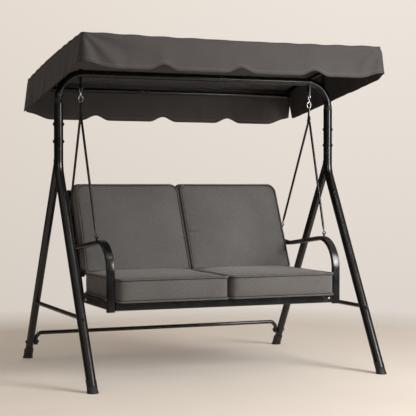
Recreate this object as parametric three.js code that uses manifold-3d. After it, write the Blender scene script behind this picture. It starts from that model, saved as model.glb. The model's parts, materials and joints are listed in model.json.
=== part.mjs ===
// A two-seat garden swing bench with a fabric canopy.
// Millimetres, +Z up, +X to the sitter's left, and the bench faces -Y.
// The origin is on the ground, midway between the four feet.
import * as THREE from "three";
import { mergeVertices } from "three/addons/utils/BufferGeometryUtils.js";
import Module from "manifold-3d";

const wasm = await Module();
wasm.setup();

// ---------------------------------------------------------------- driving dimensions

const GAP = 0.3; // between pieces that touch
const FAR = 2000; // beyond the whole bench, for blocks that only cut
const HALF_TURN = Math.PI;
const SIDES = { left: -1, right: 1 };

// Stand. Y is measured from the plane of the two posts.
const POST_X = 747.5; // half the distance between the post centres
const POST_TOP_Z = 1342;
const FRONT_FOOT_Y = -574;
const REAR_FOOT_Y = 645;
const FRONT_BEND_Z = 1020; // where the post turns into the front leg
const REAR_JOIN_Z = 1075; // where the rear leg's axis meets the post's axis
const LEG_BEND_RADIUS = 150;
const FRONT_TUBE = { radius: 23, wall: 2, sides: 12 };
const REAR_TUBE = { radius: 20, wall: 1.5, sides: 12 };
const FOOT_CAP = { body: 25, base: 27, rim: 5, flare: 14, floor: 6, height: 55 };
const LEG_END_Z = 24; // height of a leg tube's end centre above the ground

// Top bar
const BAR_TUBE = { radius: 20, wall: 1.5, sides: 12 };
const BAR_Z = 1492;
const BAR_BEND_RADIUS = 130;
const BAR_END_Z = 1128; // the ends sit inside the posts
const POST_BOLT_Z = { upper: 1240, lower: 1155 };
const COLLAR = { height: 26, shoulder: 22, lip: 0.8, inset: 0.5 };

// Braces
const BRACE_TUBE = { radius: 10.5, wall: 1.5, sides: 8 };
const BRACE_Z = 320;
const STRETCHER_Z = 141;
const STRETCHER_END_Z = 78;
const STRETCHER_BOLT_Z = 94;
const STRETCHER_KNEE = { reach: 22, lowerRadius: 18, upperRadius: 26 };
const BOLT_RADIUS = 4;
const BOLT_HOLE_RADIUS = 4.5;
const HEX = { head: 8, nut: 7.5, height: 5, clear: 1 }; // radii of heads and nuts, and their stand-off
const SLANT_CLEAR = 6.5; // how far a screw's head stands off a slanted leg
const SCREW_TAIL = 12;

// Hangers
const HANGER_X = 634;
const HOOK_PIVOT_Z = 1416; // pin of the hook in the bar's lug
const YOKE_PIVOT_Z = 1352.5; // foot of the hook's ring in the yoke's hole
const YOKE_FOOT_Z = 1277;
const BRACKET = { band: 14, wall: 4, plate: 6, head: 13, foot: 11, overlap: 18, hole: 5 };
// Heights of the hook's pieces are measured from its pin, and its ring's from the yoke's pivot.
const HOOK = {
  prong: { x: 6, thick: 3, wide: 10, top: 7, foot: -16 },
  bridge: { wide: 15, top: -15, foot: -21 },
  pin: { radius: 2.5, length: 20 },
  neck: { radius: 4, top: -20, foot: -32 },
  ring: { radius: 11, wire: 2.6, stretch: 1.45, rise: 16 },
};
const YOKE = { foot: 17, waist: 9, head: 9.5, hole: 5.6, thick: 5, toeHeight: 10, waistHeight: 34 };
const ROD_RADIUS = 6;
const ROD_RING = { radius: 8, wire: 2.4 };
const ROD_SPREAD_Y = 9; // half the distance between the rods at the yoke
const EYE_X = 617.5; // the rods' lower rings hang just outside the armrests
const LUG = { thick: 5, halfWidth: 8 };

// Seat frame. Box tubes are 20 by 40.
const SECTION = { thin: 20, wide: 40, wall: 1.5, corner: 4 };
const FRONT_RAIL_WALL = 3; // the front rail takes the knees' load
const SEAT_Z = 365; // centre of the seat rails
const ARM_X = 596;
const ARM_FRONT_Y = -370;
const ARM_FOOT_Z = 340;
const ARM_CORNER_Z = 683;
const ARM_BEND_RADIUS = 150;
const ARM_DIP = { y: 165, z: 622, radius: 220 };
const SIDE_RAIL_X = 590;
const REAR_RAIL_Y = 170;
const UPRIGHT_X = 582;
const UPRIGHT_TUBE = { radius: 12.5, wall: 1.5, sides: 10 };
const UPRIGHT_TOP_Z = 905;
const BACK_RAIL_Z = 878;
const BACK_LEAN = THREE.MathUtils.degToRad(25);
const ARM_REAR_RISE = 12; // the arm climbs again behind its dip
const FRONT_EYE = { y: -208, z: 690, lugFoot: 655 };
const REAR_EYE = { y: 291, z: 720, tabHeight: 20 };
const SLATS = { across: 3, along: 7, width: 40, thick: 3 };
const WEBBING_RISE = 20; // the webbing starts above the rear rail

// Cushions
const CUSHION_X = { inner: 4, outer: 573 };
const SEAT_BED_Z = SEAT_Z + SECTION.wide / 2 + GAP;
const SEAT_CUSHION = { front: -422, back: 158, bottom: SEAT_BED_Z, top: 497, crown: 506, ease: 14 };
const CROWN_EDGE = { front: 70, back: 40, clear: 8 }; // the crown ends in front of the back cushion
const BACK_CUSHION = { front: 104.5, bottom: SEAT_CUSHION.top + GAP, top: 943, thickness: 94, ease: 22 };
const CUSHION_BEVEL = 12;

// Canopy. The pivots are on the posts' plane.
const CANOPY_PIVOT_Z = 1558;
const COVER_HALF_WIDTH = 778;
const COVER_FRONT_Y = -520;
const COVER_BACK_Y = 525;
const COVER_THICKNESS = 3;
const COVER_FLARE = 20; // how far the valance leans out at its hem
const COVER_CORNER = 22;
const COVER_CROWN = { z: 1577, slope: -0.134, sag: 0.000048 };
const HEM_FRONT_Z = 1470;
const HEM_BACK_Z = 1292;
const HEM_CORNER = { front: 1497, back: 1325 };
const HEM_SIDE_FRONT_Z = 1482;
const SIDE_HEM_BLEND = { from: 440, to: 500 }; // where the side hem rises to the front corner
const LOBE_END = { from: 640, to: COVER_HALF_WIDTH - 15 }; // where the outer lobes curve up
const NOTCH = { height: 27, halfWidth: 78, spacing: 390 };
const SLIT = { apex: 1398, width: 34, overrun: 20, depth: 90 };
const CANOPY_ARM_X = 755;
const CANOPY_ARM_TUBE = { radius: 11, wall: 1.5, sides: 10 };
const CANOPY_BAR_TUBE = { radius: 12.5, wall: 1.5, sides: 10 };
const CANOPY_BAR_FRONT = { y: -500, z: 1616 };
const CANOPY_BAR_REAR = { y: 500, z: 1452 };
const CANOPY_ARM_STATIONS = [-506, -170, 170, 440];
const CANOPY_ARM_BENDS = [1200, 1200, 600, 20];
const EAR_X = 718;
const EAR_THICKNESS = 6;
const EAR = { half: 18, foot: 1446, shoulder: 1490, top: 12.5 };
const KNOB = { lobes: 5, radius: 13, lobe: 1.5, depth: 20 };
const PIVOT_SPACER_RADIUS = 8;

const BACK_UPRIGHT_FOOT = { y: REAR_RAIL_Y, z: SEAT_Z + SECTION.wide / 2 };
const backLeanY = (z) => BACK_UPRIGHT_FOOT.y + (z - BACK_UPRIGHT_FOOT.z) * Math.tan(BACK_LEAN);

// ---------------------------------------------------------------- materials

const satinBlack = () => new THREE.MeshStandardMaterial({ color: 0x1b1d1f, roughness: 0.42, metalness: 0.6 });
const blackPlastic = () => new THREE.MeshStandardMaterial({ color: 0x101112, roughness: 0.6, metalness: 0 });
const zincPlate = () => new THREE.MeshStandardMaterial({ color: 0xc9cbc8, roughness: 0.25, metalness: 1 });
const cushionCloth = () => new THREE.MeshStandardMaterial({ color: 0x57524f, roughness: 0.95, metalness: 0 });
const blackWeb = () => new THREE.MeshStandardMaterial({ color: 0x1c1c1d, roughness: 0.85, metalness: 0 });
const canopyCloth = () => new THREE.MeshStandardMaterial({ color: 0x4b4948, roughness: 0.9, metalness: 0 });

// ---------------------------------------------------------------- geometry tools

const point = (x, y, z) => new THREE.Vector3(x, y, z);

// Straight runs through the given corners, with an arc of its own radius at each inner corner.
// Its stations stand only at the ends of the straight runs and every few degrees of an arc.
class BentPath extends THREE.Curve {
  constructor(corners, radii = [], degreesPerStep = 12) {
    super();
    this.stations = [];
    corners.forEach((corner, i) => {
      const before = corners[i - 1];
      const after = corners[i + 1];
      if (!before || !after) {
        const other = before || after;
        const along = before ? corner.clone().sub(other) : other.clone().sub(corner);
        this.stations.push({ point: corner, tangent: along.normalize() });
        return;
      }
      const arriving = corner.clone().sub(before).normalize();
      const leaving = after.clone().sub(corner).normalize();
      const turn = arriving.angleTo(leaving);
      const radius = radii[i - 1];
      const start = corner.clone().addScaledVector(arriving, -radius * Math.tan(turn / 2));
      const axis = arriving.clone().cross(leaving).normalize();
      const inward = axis.clone().cross(arriving);
      const centre = start.clone().addScaledVector(inward, radius);
      const steps = Math.max(1, Math.ceil(THREE.MathUtils.radToDeg(turn) / degreesPerStep));
      for (let step = 0; step <= steps; step++) {
        const angle = (turn * step) / steps;
        const arm = inward.clone().multiplyScalar(-radius).applyAxisAngle(axis, angle);
        const tangent = arriving.clone().applyAxisAngle(axis, angle);
        this.stations.push({ point: centre.clone().add(arm), tangent });
      }
    });
  }

  get steps() {
    return this.stations.length - 1;
  }

  station(u) {
    return this.stations[Math.round(u * this.steps)];
  }

  getPointAt(u, target = new THREE.Vector3()) {
    return target.copy(this.station(u).point);
  }

  getTangentAt(u, target = new THREE.Vector3()) {
    return target.copy(this.station(u).tangent);
  }
}

function sweep(section, path, curveSegments = 4) {
  const options = { steps: path.steps, bevelEnabled: false, extrudePath: path, curveSegments };
  return new THREE.ExtrudeGeometry(section, options);
}

function circle(radius) {
  return new THREE.Shape().absarc(0, 0, radius, 0, 2 * HALF_TURN);
}

function tubeSolid(path, { radius, wall, sides }) {
  const section = circle(radius);
  section.holes.push(new THREE.Path().absarc(0, 0, radius - wall, 0, 2 * HALF_TURN));
  return toSolid(sweep(section, path, sides / 2));
}

function rodSolid(path, radius, sides) {
  return toSolid(sweep(circle(radius), path, sides / 2));
}

// A rectangle with small chamfered corners, centred on the origin.
function rectangle(width, height, corner, Kind = THREE.Shape) {
  const x = width / 2;
  const y = height / 2;
  const outline = [
    [-x + corner, -y],
    [x - corner, -y],
    [x, -y + corner],
    [x, y - corner],
    [x - corner, y],
    [-x + corner, y],
    [-x, y - corner],
    [-x, -y + corner],
  ];
  return new Kind(outline.map(([px, py]) => new THREE.Vector2(px, py)));
}

function boxTubeSection(width, height, wall = SECTION.wall) {
  const section = rectangle(width, height, SECTION.corner);
  const inner = rectangle(width - 2 * wall, height - 2 * wall, SECTION.corner / 2, THREE.Path);
  section.holes.push(inner);
  return section;
}

function toSolid(geometry) {
  const bare = geometry.index ? geometry.toNonIndexed() : geometry.clone();
  bare.deleteAttribute("normal");
  bare.deleteAttribute("uv");
  const merged = mergeVertices(bare, 1e-3);
  const vertProperties = merged.getAttribute("position").array;
  const triVerts = new Uint32Array(merged.index.array);
  return new wasm.Manifold(new wasm.Mesh({ numProp: 3, vertProperties, triVerts }));
}

function toGeometry(solid) {
  const mesh = solid.getMesh();
  const geometry = new THREE.BufferGeometry();
  geometry.setAttribute("position", new THREE.Float32BufferAttribute(mesh.vertProperties, 3));
  geometry.setIndex(new THREE.Uint32BufferAttribute(mesh.triVerts, 1));
  return geometry;
}

const cut = (solid, ...tools) => tools.reduce((left, tool) => left.subtract(tool), solid);
const join = (...solids) => solids.reduce((all, solid) => all.add(solid));

function boxSolid(from, to) {
  const size = to.clone().sub(from);
  const middle = from.clone().add(to).multiplyScalar(0.5);
  const box = new THREE.BoxGeometry(size.x, size.y, size.z).translate(middle.x, middle.y, middle.z);
  return toSolid(box);
}

// A block whose X span is given on the right side, and mirrored for the left.
function sideBox(side, [nearX, farX], [fromY, toY], [fromZ, toZ]) {
  const [low, high] = side > 0 ? [nearX, farX] : [-farX, -nearX];
  return boxSolid(point(low, fromY, fromZ), point(high, toY, toZ));
}

// A level block wider than the bench, between two heights.
const slab = (fromZ, toZ) => boxSolid(point(-FAR, -FAR, fromZ), point(FAR, FAR, toZ));

// A straight round bar between two points.
function straightRod(from, to, radius, sides = 12) {
  return rodSolid(new BentPath([from, to]), radius, sides);
}

// An outline in the Y-Z plane, given as Vector2(y, z), extruded along X between two values.
function profileAcross(shape, fromX, toX, curveSegments = 6) {
  const depth = toX - fromX;
  const geometry = new THREE.ExtrudeGeometry(shape, { depth, bevelEnabled: false, curveSegments });
  const axes = new THREE.Matrix4().makeBasis(point(0, 1, 0), point(0, 0, 1), point(1, 0, 0));
  return toSolid(geometry.applyMatrix4(axes).translate(fromX, 0, 0));
}

function mesh(name, shape, material) {
  const piece = new THREE.Mesh(shape.isBufferGeometry ? shape : toGeometry(shape), material);
  piece.name = name;
  return piece;
}

// A hexagon bolt along an axis: head, shank and nut in one solid.
function boltSolid(headFrom, nutTo) {
  const along = nutTo.clone().sub(headFrom).normalize();
  const at = (distance) => headFrom.clone().addScaledVector(along, distance);
  const length = headFrom.distanceTo(nutTo);
  const head = straightRod(at(0), at(HEX.height), HEX.head, 6);
  const shank = straightRod(at(1), at(length - 1), BOLT_RADIUS, 8);
  const nut = straightRod(at(length - HEX.height), at(length), HEX.nut, 6);
  return join(head, shank, nut);
}

// ---------------------------------------------------------------- stand

const barPath = new BentPath(
  [
    point(-POST_X, 0, BAR_END_Z),
    point(-POST_X, 0, BAR_Z),
    point(POST_X, 0, BAR_Z),
    point(POST_X, 0, BAR_END_Z),
  ],
  [BAR_BEND_RADIUS, BAR_BEND_RADIUS],
  11.25,
);

function frontLegPath(side) {
  const x = side * POST_X;
  const top = point(x, 0, POST_TOP_Z);
  const bend = point(x, 0, FRONT_BEND_Z);
  const footAt = LEG_END_Z / FRONT_BEND_Z;
  const foot = point(x, FRONT_FOOT_Y * (1 - footAt), LEG_END_Z);
  return new BentPath([top, bend, foot], [LEG_BEND_RADIUS], 6);
}

function rearLegPath(side) {
  const x = side * POST_X;
  const footAt = LEG_END_Z / REAR_JOIN_Z;
  return new BentPath([point(x, 0, REAR_JOIN_Z), point(x, REAR_FOOT_Y * (1 - footAt), LEG_END_Z)]);
}

const frontLegY = (z) => FRONT_FOOT_Y * (1 - z / FRONT_BEND_Z);
const rearLegY = (z) => REAR_FOOT_Y * (1 - z / REAR_JOIN_Z);

function postBoltHole(side, z) {
  const reach = FRONT_TUBE.radius + 20;
  const x = side * POST_X;
  return straightRod(point(x - reach, 0, z), point(x + reach, 0, z), BOLT_HOLE_RADIUS, 8);
}

function braceBoltHole(side, y) {
  const reach = 60;
  const x = side * POST_X;
  return straightRod(point(x, y - reach, BRACE_Z), point(x, y + reach, BRACE_Z), BOLT_HOLE_RADIUS, 8);
}

const STRETCHER_X = POST_X - REAR_TUBE.radius - BRACE_TUBE.radius - 1; // its ends stand inside the legs
const STRETCHER_Y = rearLegY(STRETCHER_BOLT_Z);

function stretcherBoltEnds(side) {
  const proud = HEX.height + HEX.clear;
  const outerX = POST_X + REAR_TUBE.radius + proud;
  const innerX = STRETCHER_X - BRACE_TUBE.radius - proud;
  return [outerX, innerX].map((x) => point(side * x, STRETCHER_Y, STRETCHER_BOLT_Z));
}

const stretcherBoltHole = (side) => straightRod(...stretcherBoltEnds(side), BOLT_HOLE_RADIUS, 8);

function topBar() {
  const holes = Object.values(SIDES).flatMap((side) =>
    Object.values(POST_BOLT_Z).map((z) => postBoltHole(side, z)),
  );
  return mesh("top_bar", cut(tubeSolid(barPath, BAR_TUBE), ...holes), satinBlack());
}

function legs(sideName) {
  const side = SIDES[sideName];
  const postHoles = Object.values(POST_BOLT_Z).map((z) => postBoltHole(side, z));
  const front = cut(
    tubeSolid(frontLegPath(side), FRONT_TUBE),
    ...postHoles,
    braceBoltHole(side, frontLegY(BRACE_Z)),
  );
  const frontOutside = rodSolid(frontLegPath(side), FRONT_TUBE.radius + GAP, FRONT_TUBE.sides);
  const rear = cut(
    tubeSolid(rearLegPath(side), REAR_TUBE),
    frontOutside,
    braceBoltHole(side, rearLegY(BRACE_Z)),
    stretcherBoltHole(side),
  );
  return [
    mesh(`front_leg_${sideName}`, front, satinBlack()),
    mesh(`rear_leg_${sideName}`, rear, satinBlack()),
  ];
}

// A round plastic shoe, wider at the ground, with a socket cut to the leg's slant.
function footCap(name, side, footY, path, tubeRadius) {
  const { body: bodyRadius, base: baseRadius, rim, flare, floor, height } = FOOT_CAP;
  const profile = [
    [0, 0],
    [baseRadius, 0],
    [baseRadius, rim],
    [bodyRadius, flare],
    [bodyRadius, height],
    [0, height],
  ].map(([r, z]) => new THREE.Vector2(r, z));
  const body = new THREE.LatheGeometry(profile, 20).rotateX(HALF_TURN / 2);
  const end = path.stations.at(-1);
  const up = end.tangent.clone().negate();
  const socketFoot = end.point.clone().addScaledVector(up, -1);
  const socketHead = socketFoot.clone().addScaledVector(up, 2 * height);
  const socket = straightRod(socketFoot, socketHead, tubeRadius + 3 * GAP, 20);
  const lean = end.tangent.y / end.tangent.z;
  const shear = new THREE.Matrix4().set(1, 0, 0, 0, 0, 1, lean, 0, 0, 0, 1, 0, 0, 0, 0, 1);
  body.applyMatrix4(shear).translate(side * POST_X, footY, 0);
  const hollow = cut(toSolid(body), socket);
  const kept = join(cut(hollow, slab(-FAR, 0)), toSolid(body).intersect(slab(0, floor)));
  return mesh(name, kept, blackPlastic());
}

function footCaps(sideName) {
  const side = SIDES[sideName];
  return [
    footCap(`foot_cap_front_${sideName}`, side, FRONT_FOOT_Y, frontLegPath(side), FRONT_TUBE.radius),
    footCap(`foot_cap_rear_${sideName}`, side, REAR_FOOT_Y, rearLegPath(side), REAR_TUBE.radius),
  ];
}

// A plastic sleeve that fills the step between the post's mouth and the thinner bar.
function postCollar(sideName) {
  const inner = BAR_TUBE.radius + 3 * GAP;
  const outer = FRONT_TUBE.radius - COLLAR.inset;
  const bottom = POST_TOP_Z + GAP;
  const profile = [
    [inner, bottom],
    [outer, bottom],
    [outer, bottom + COLLAR.shoulder],
    [inner + COLLAR.lip, bottom + COLLAR.height],
    [inner, bottom + COLLAR.height],
    [inner, bottom],
  ].map(([r, z]) => new THREE.Vector2(r, z));
  const ring = new THREE.LatheGeometry(profile, 20).rotateX(HALF_TURN / 2);
  const collar = mesh(`post_collar_${sideName}`, toSolid(ring), blackPlastic());
  collar.position.x = SIDES[sideName] * POST_X;
  return collar;
}

function sideBrace(sideName) {
  const side = SIDES[sideName];
  const x = side * POST_X;
  const front = frontLegY(BRACE_Z);
  const rear = rearLegY(BRACE_Z);
  const run = new BentPath([point(x, front, BRACE_Z), point(x, rear, BRACE_Z)]);
  const brace = cut(
    tubeSolid(run, BRACE_TUBE),
    rodSolid(frontLegPath(side), FRONT_TUBE.radius + GAP, FRONT_TUBE.sides),
    rodSolid(rearLegPath(side), REAR_TUBE.radius + GAP, REAR_TUBE.sides),
  );
  return mesh(`side_brace_${sideName}`, brace, satinBlack());
}

function rearStretcher() {
  const { reach, lowerRadius, upperRadius } = STRETCHER_KNEE;
  const path = new BentPath(
    [
      point(-STRETCHER_X, STRETCHER_Y, STRETCHER_END_Z),
      point(-STRETCHER_X, STRETCHER_Y, STRETCHER_Z - reach),
      point(-STRETCHER_X + reach, STRETCHER_Y, STRETCHER_Z),
      point(STRETCHER_X - reach, STRETCHER_Y, STRETCHER_Z),
      point(STRETCHER_X, STRETCHER_Y, STRETCHER_Z - reach),
      point(STRETCHER_X, STRETCHER_Y, STRETCHER_END_Z),
    ],
    [lowerRadius, upperRadius, upperRadius, lowerRadius],
    30,
  );
  const holes = Object.values(SIDES).map(stretcherBoltHole);
  return mesh("rear_stretcher", cut(tubeSolid(path, BRACE_TUBE), ...holes), satinBlack());
}

function standBolts(sideName) {
  const side = SIDES[sideName];
  const x = side * POST_X;
  const reach = FRONT_TUBE.radius + HEX.height + HEX.clear;
  const bolts = Object.entries(POST_BOLT_Z).map(([level, z]) =>
    mesh(
      `post_bolt_${level}_${sideName}`,
      boltSolid(point(x - reach, 0, z), point(x + reach, 0, z)),
      satinBlack(),
    ),
  );
  const frontY = frontLegY(BRACE_Z);
  const rearY = rearLegY(BRACE_Z);
  const frontReach = FRONT_TUBE.radius / Math.cos(Math.atan(FRONT_FOOT_Y / FRONT_BEND_Z)) + SLANT_CLEAR;
  const rearReach = REAR_TUBE.radius / Math.cos(Math.atan(REAR_FOOT_Y / REAR_JOIN_Z)) + SLANT_CLEAR;
  const screw = (from, to) => {
    const along = to.clone().sub(from).normalize();
    const head = straightRod(from, from.clone().addScaledVector(along, HEX.height), HEX.head, 6);
    return join(head, straightRod(from.clone().addScaledVector(along, 1), to, BOLT_RADIUS, 8));
  };
  const front = screw(
    point(x, frontY - frontReach - HEX.height, BRACE_Z),
    point(x, frontY + frontReach + SCREW_TAIL, BRACE_Z),
  );
  const rear = screw(
    point(x, rearY + rearReach + HEX.height, BRACE_Z),
    point(x, rearY - rearReach - SCREW_TAIL, BRACE_Z),
  );
  bolts.push(mesh(`brace_bolt_front_${sideName}`, front, satinBlack()));
  bolts.push(mesh(`brace_bolt_rear_${sideName}`, rear, satinBlack()));
  bolts.push(mesh(`stretcher_bolt_${sideName}`, boltSolid(...stretcherBoltEnds(side)), satinBlack()));
  return bolts;
}

// A band round the bar with a lug below it, drilled for the hook's pin.
function hangerBracket(sideName) {
  const x = SIDES[sideName] * HANGER_X;
  const { band, wall, plate, head, foot, overlap, hole } = BRACKET;
  const top = BAR_Z - overlap;
  const ends = [-1, 1].map((end) => point(x + (end * band) / 2, 0, BAR_Z));
  const ring = straightRod(...ends, BAR_TUBE.radius + wall, 20);
  const shape = new THREE.Shape();
  shape.moveTo(-head, top);
  shape.lineTo(-foot, HOOK_PIVOT_Z);
  shape.absarc(0, HOOK_PIVOT_Z, foot, HALF_TURN, 2 * HALF_TURN);
  shape.lineTo(head, top);
  shape.holes.push(new THREE.Path().absarc(0, HOOK_PIVOT_Z, hole, 0, 2 * HALF_TURN));
  const lug = profileAcross(shape, x - plate / 2, x + plate / 2);
  const bar = rodSolid(barPath, BAR_TUBE.radius + GAP, BAR_TUBE.sides);
  return mesh(`hanger_bracket_${sideName}`, cut(join(ring, lug), bar), satinBlack());
}

// An upright ear on the shoulder of the bar, drilled for the canopy's pivot bolt.
function canopyEar(sideName) {
  const side = SIDES[sideName];
  const ear = new THREE.Shape();
  ear.moveTo(-EAR.half, EAR.foot);
  ear.lineTo(EAR.half, EAR.foot);
  ear.lineTo(EAR.half, EAR.shoulder);
  ear.lineTo(EAR.top, CANOPY_PIVOT_Z);
  ear.absarc(0, CANOPY_PIVOT_Z, EAR.top, 0, HALF_TURN);
  ear.lineTo(-EAR.half, EAR.shoulder);
  ear.holes.push(new THREE.Path().absarc(0, CANOPY_PIVOT_Z, BOLT_HOLE_RADIUS, 0, 2 * HALF_TURN));
  const x = side * EAR_X;
  const plate = profileAcross(ear, x - EAR_THICKNESS / 2, x + EAR_THICKNESS / 2);
  const bar = rodSolid(barPath, BAR_TUBE.radius + GAP, BAR_TUBE.sides);
  return mesh(`canopy_bracket_${sideName}`, cut(plate, bar), satinBlack());
}

// ---------------------------------------------------------------- canopy

const coverZ = (y) => COVER_CROWN.z + COVER_CROWN.slope * y - COVER_CROWN.sag * y * y;

function canopyArm(sideName) {
  const x = SIDES[sideName] * CANOPY_ARM_X;
  const below = CANOPY_ARM_TUBE.radius + COVER_THICKNESS + 1.5;
  const corners = CANOPY_ARM_STATIONS.map((y) => point(x, y, coverZ(y) - below));
  corners.push(point(x, CANOPY_BAR_REAR.y, coverZ(CANOPY_BAR_REAR.y) - below - 2));
  corners.push(point(x, CANOPY_BAR_REAR.y, CANOPY_BAR_REAR.z - CANOPY_ARM_TUBE.radius));
  const path = new BentPath(corners, CANOPY_ARM_BENDS, 18);
  const hole = straightRod(
    point(x - 2 * CANOPY_ARM_TUBE.radius, 0, CANOPY_PIVOT_Z),
    point(x + 2 * CANOPY_ARM_TUBE.radius, 0, CANOPY_PIVOT_Z),
    BOLT_HOLE_RADIUS,
    8,
  );
  return mesh(`canopy_arm_${sideName}`, cut(tubeSolid(path, CANOPY_ARM_TUBE), hole), satinBlack());
}

function canopyBar(name, { y, z }) {
  const reach = CANOPY_ARM_X - CANOPY_ARM_TUBE.radius - GAP;
  const path = new BentPath([point(-reach, y, z), point(reach, y, z)]);
  return mesh(name, tubeSolid(path, CANOPY_BAR_TUBE), satinBlack());
}

function canopyPivotBolt(sideName) {
  const side = SIDES[sideName];
  const headX = CANOPY_ARM_X + CANOPY_ARM_TUBE.radius + GAP;
  const at = (x) => point(side * x, 0, CANOPY_PIVOT_Z);
  const head = straightRod(at(headX + HEX.height), at(headX), HEX.head, 6);
  const shank = straightRod(at(headX + 1), at(EAR_X - 1.5 * KNOB.depth), BOLT_RADIUS, 8);
  const spacer = straightRod(
    at(CANOPY_ARM_X - CANOPY_ARM_TUBE.radius - GAP),
    at(EAR_X + EAR_THICKNESS / 2 + GAP),
    PIVOT_SPACER_RADIUS,
  );
  return mesh(`canopy_pivot_bolt_${sideName}`, join(head, shank, spacer), zincPlate());
}

// A hand knob with five lobes, threaded on the inner end of the pivot bolt.
function canopyKnob(sideName) {
  const count = KNOB.lobes * 4;
  const outline = [];
  for (let i = 0; i < count; i++) {
    const angle = (i / count) * 2 * HALF_TURN;
    const radius = KNOB.radius + KNOB.lobe * Math.cos(KNOB.lobes * angle);
    outline.push(new THREE.Vector2(radius * Math.cos(angle), CANOPY_PIVOT_Z + radius * Math.sin(angle)));
  }
  const shape = new THREE.Shape(outline);
  shape.holes.push(new THREE.Path().absarc(0, CANOPY_PIVOT_Z, BOLT_RADIUS + GAP, 0, 2 * HALF_TURN));
  const near = EAR_X - EAR_THICKNESS / 2 - GAP;
  const far = near - KNOB.depth;
  const span = SIDES[sideName] > 0 ? [far, near] : [-near, -far];
  return mesh(`canopy_knob_${sideName}`, profileAcross(shape, ...span, 4), blackPlastic());
}

// The cover's plan outline, anticlockwise from the front left, with the outward direction at each point.
function coverOutline() {
  const halfX = COVER_HALF_WIDTH - COVER_CORNER;
  const middleY = (COVER_FRONT_Y + COVER_BACK_Y) / 2;
  const halfY = (COVER_BACK_Y - COVER_FRONT_Y) / 2 - COVER_CORNER;
  const outline = [];
  const straight = (from, to, normal, count) => {
    for (let i = 1; i < count; i++) {
      const t = i / count;
      const x = THREE.MathUtils.lerp(from[0], to[0], t);
      const y = THREE.MathUtils.lerp(from[1], to[1], t);
      outline.push({ x, y, normal });
    }
  };
  const corner = (x, y, startAngle) => {
    for (let i = 0; i <= 4; i++) {
      const angle = startAngle + (i / 4) * (HALF_TURN / 2);
      const normal = new THREE.Vector2(Math.cos(angle), Math.sin(angle));
      outline.push({ x: x + COVER_CORNER * normal.x, y: y + COVER_CORNER * normal.y, normal });
    }
  };
  const low = middleY - halfY;
  const high = middleY + halfY;
  const edge = { front: COVER_FRONT_Y, back: COVER_BACK_Y };
  corner(-halfX, low, HALF_TURN);
  straight([-halfX, edge.front], [halfX, edge.front], new THREE.Vector2(0, -1), 32);
  corner(halfX, low, 1.5 * HALF_TURN);
  straight([COVER_HALF_WIDTH, low], [COVER_HALF_WIDTH, high], new THREE.Vector2(1, 0), 6);
  corner(halfX, high, 0);
  straight([halfX, edge.back], [-halfX, edge.back], new THREE.Vector2(0, 1), 32);
  corner(-halfX, high, HALF_TURN / 2);
  straight([-COVER_HALF_WIDTH, high], [-COVER_HALF_WIDTH, low], new THREE.Vector2(-1, 0), 6);
  return outline;
}

// Height of the hem below an outline point: scalloped front and back, straight at the sides.
function hemZ({ x, y, normal }) {
  const facing = Math.abs(normal.y) > 0.9;
  const front = y < 0;
  const cornerZ = front ? HEM_CORNER.front : HEM_CORNER.back;
  if (!facing) {
    const t = (y - COVER_FRONT_Y) / (COVER_BACK_Y - COVER_FRONT_Y);
    const side = THREE.MathUtils.lerp(HEM_SIDE_FRONT_Z, HEM_CORNER.back, t);
    const nearFront = THREE.MathUtils.smoothstep(-y, SIDE_HEM_BLEND.from, SIDE_HEM_BLEND.to);
    return THREE.MathUtils.lerp(side, cornerZ, front ? nearFront : 0);
  }
  const lobe = front ? HEM_FRONT_Z : HEM_BACK_Z;
  const rise = THREE.MathUtils.smoothstep(Math.abs(x), LOBE_END.from, LOBE_END.to);
  const fromNotch = Math.abs(Math.abs(x) - (Math.abs(x) > NOTCH.spacing / 2 ? NOTCH.spacing : 0));
  const notch = 1 - THREE.MathUtils.smoothstep(fromNotch, 0, NOTCH.halfWidth);
  return THREE.MathUtils.lerp(lobe, cornerZ, rise) + NOTCH.height * notch;
}

// One skin of the cover as rings of points, from the middle of the top out and down to the hem.
function coverRings(outline, inset) {
  const middleY = (COVER_FRONT_Y + COVER_BACK_Y) / 2;
  const rings = [];
  for (const scale of [0.35, 0.7, 0.97]) {
    rings.push(
      outline.map(({ x, y }) => {
        const ringY = middleY + (y - middleY) * scale;
        return point(x * scale, ringY, coverZ(ringY) - inset);
      }),
    );
  }
  for (const drop of [0, 0.5, 1]) {
    rings.push(
      outline.map((spot) => {
        const out = COVER_FLARE * drop - inset;
        const top = coverZ(spot.y) - COVER_THICKNESS - inset;
        const z = THREE.MathUtils.lerp(top, hemZ(spot), drop);
        return point(spot.x + spot.normal.x * out, spot.y + spot.normal.y * out, z);
      }),
    );
  }
  return { rings, centre: point(0, middleY, coverZ(middleY) - inset) };
}

function coverShell() {
  const outline = coverOutline();
  const count = outline.length;
  const positions = [];
  const triangle = (a, b, c) => positions.push(...a.toArray(), ...b.toArray(), ...c.toArray());
  const quad = (a, b, c, d) => {
    triangle(a, b, c);
    triangle(a, c, d);
  };
  const skin = ({ rings, centre }, outward) => {
    for (let i = 0; i < count; i++) {
      const next = (i + 1) % count;
      const fan = [centre, rings[0][i], rings[0][next]];
      triangle(...(outward ? fan : fan.reverse()));
      for (let r = 0; r + 1 < rings.length; r++) {
        const face = [rings[r][i], rings[r + 1][i], rings[r + 1][next], rings[r][next]];
        quad(...(outward ? face : face.reverse()));
      }
    }
  };
  const outer = coverRings(outline, 0);
  const inner = coverRings(outline, COVER_THICKNESS);
  skin(outer, true);
  skin(inner, false);
  const outerHem = outer.rings.at(-1);
  const innerHem = inner.rings.at(-1);
  for (let i = 0; i < count; i++) {
    const next = (i + 1) % count;
    quad(outerHem[i], innerHem[i], innerHem[next], outerHem[next]);
  }
  const geometry = new THREE.BufferGeometry();
  geometry.setAttribute("position", new THREE.Float32BufferAttribute(positions, 3));
  return toSolid(geometry);
}

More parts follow.
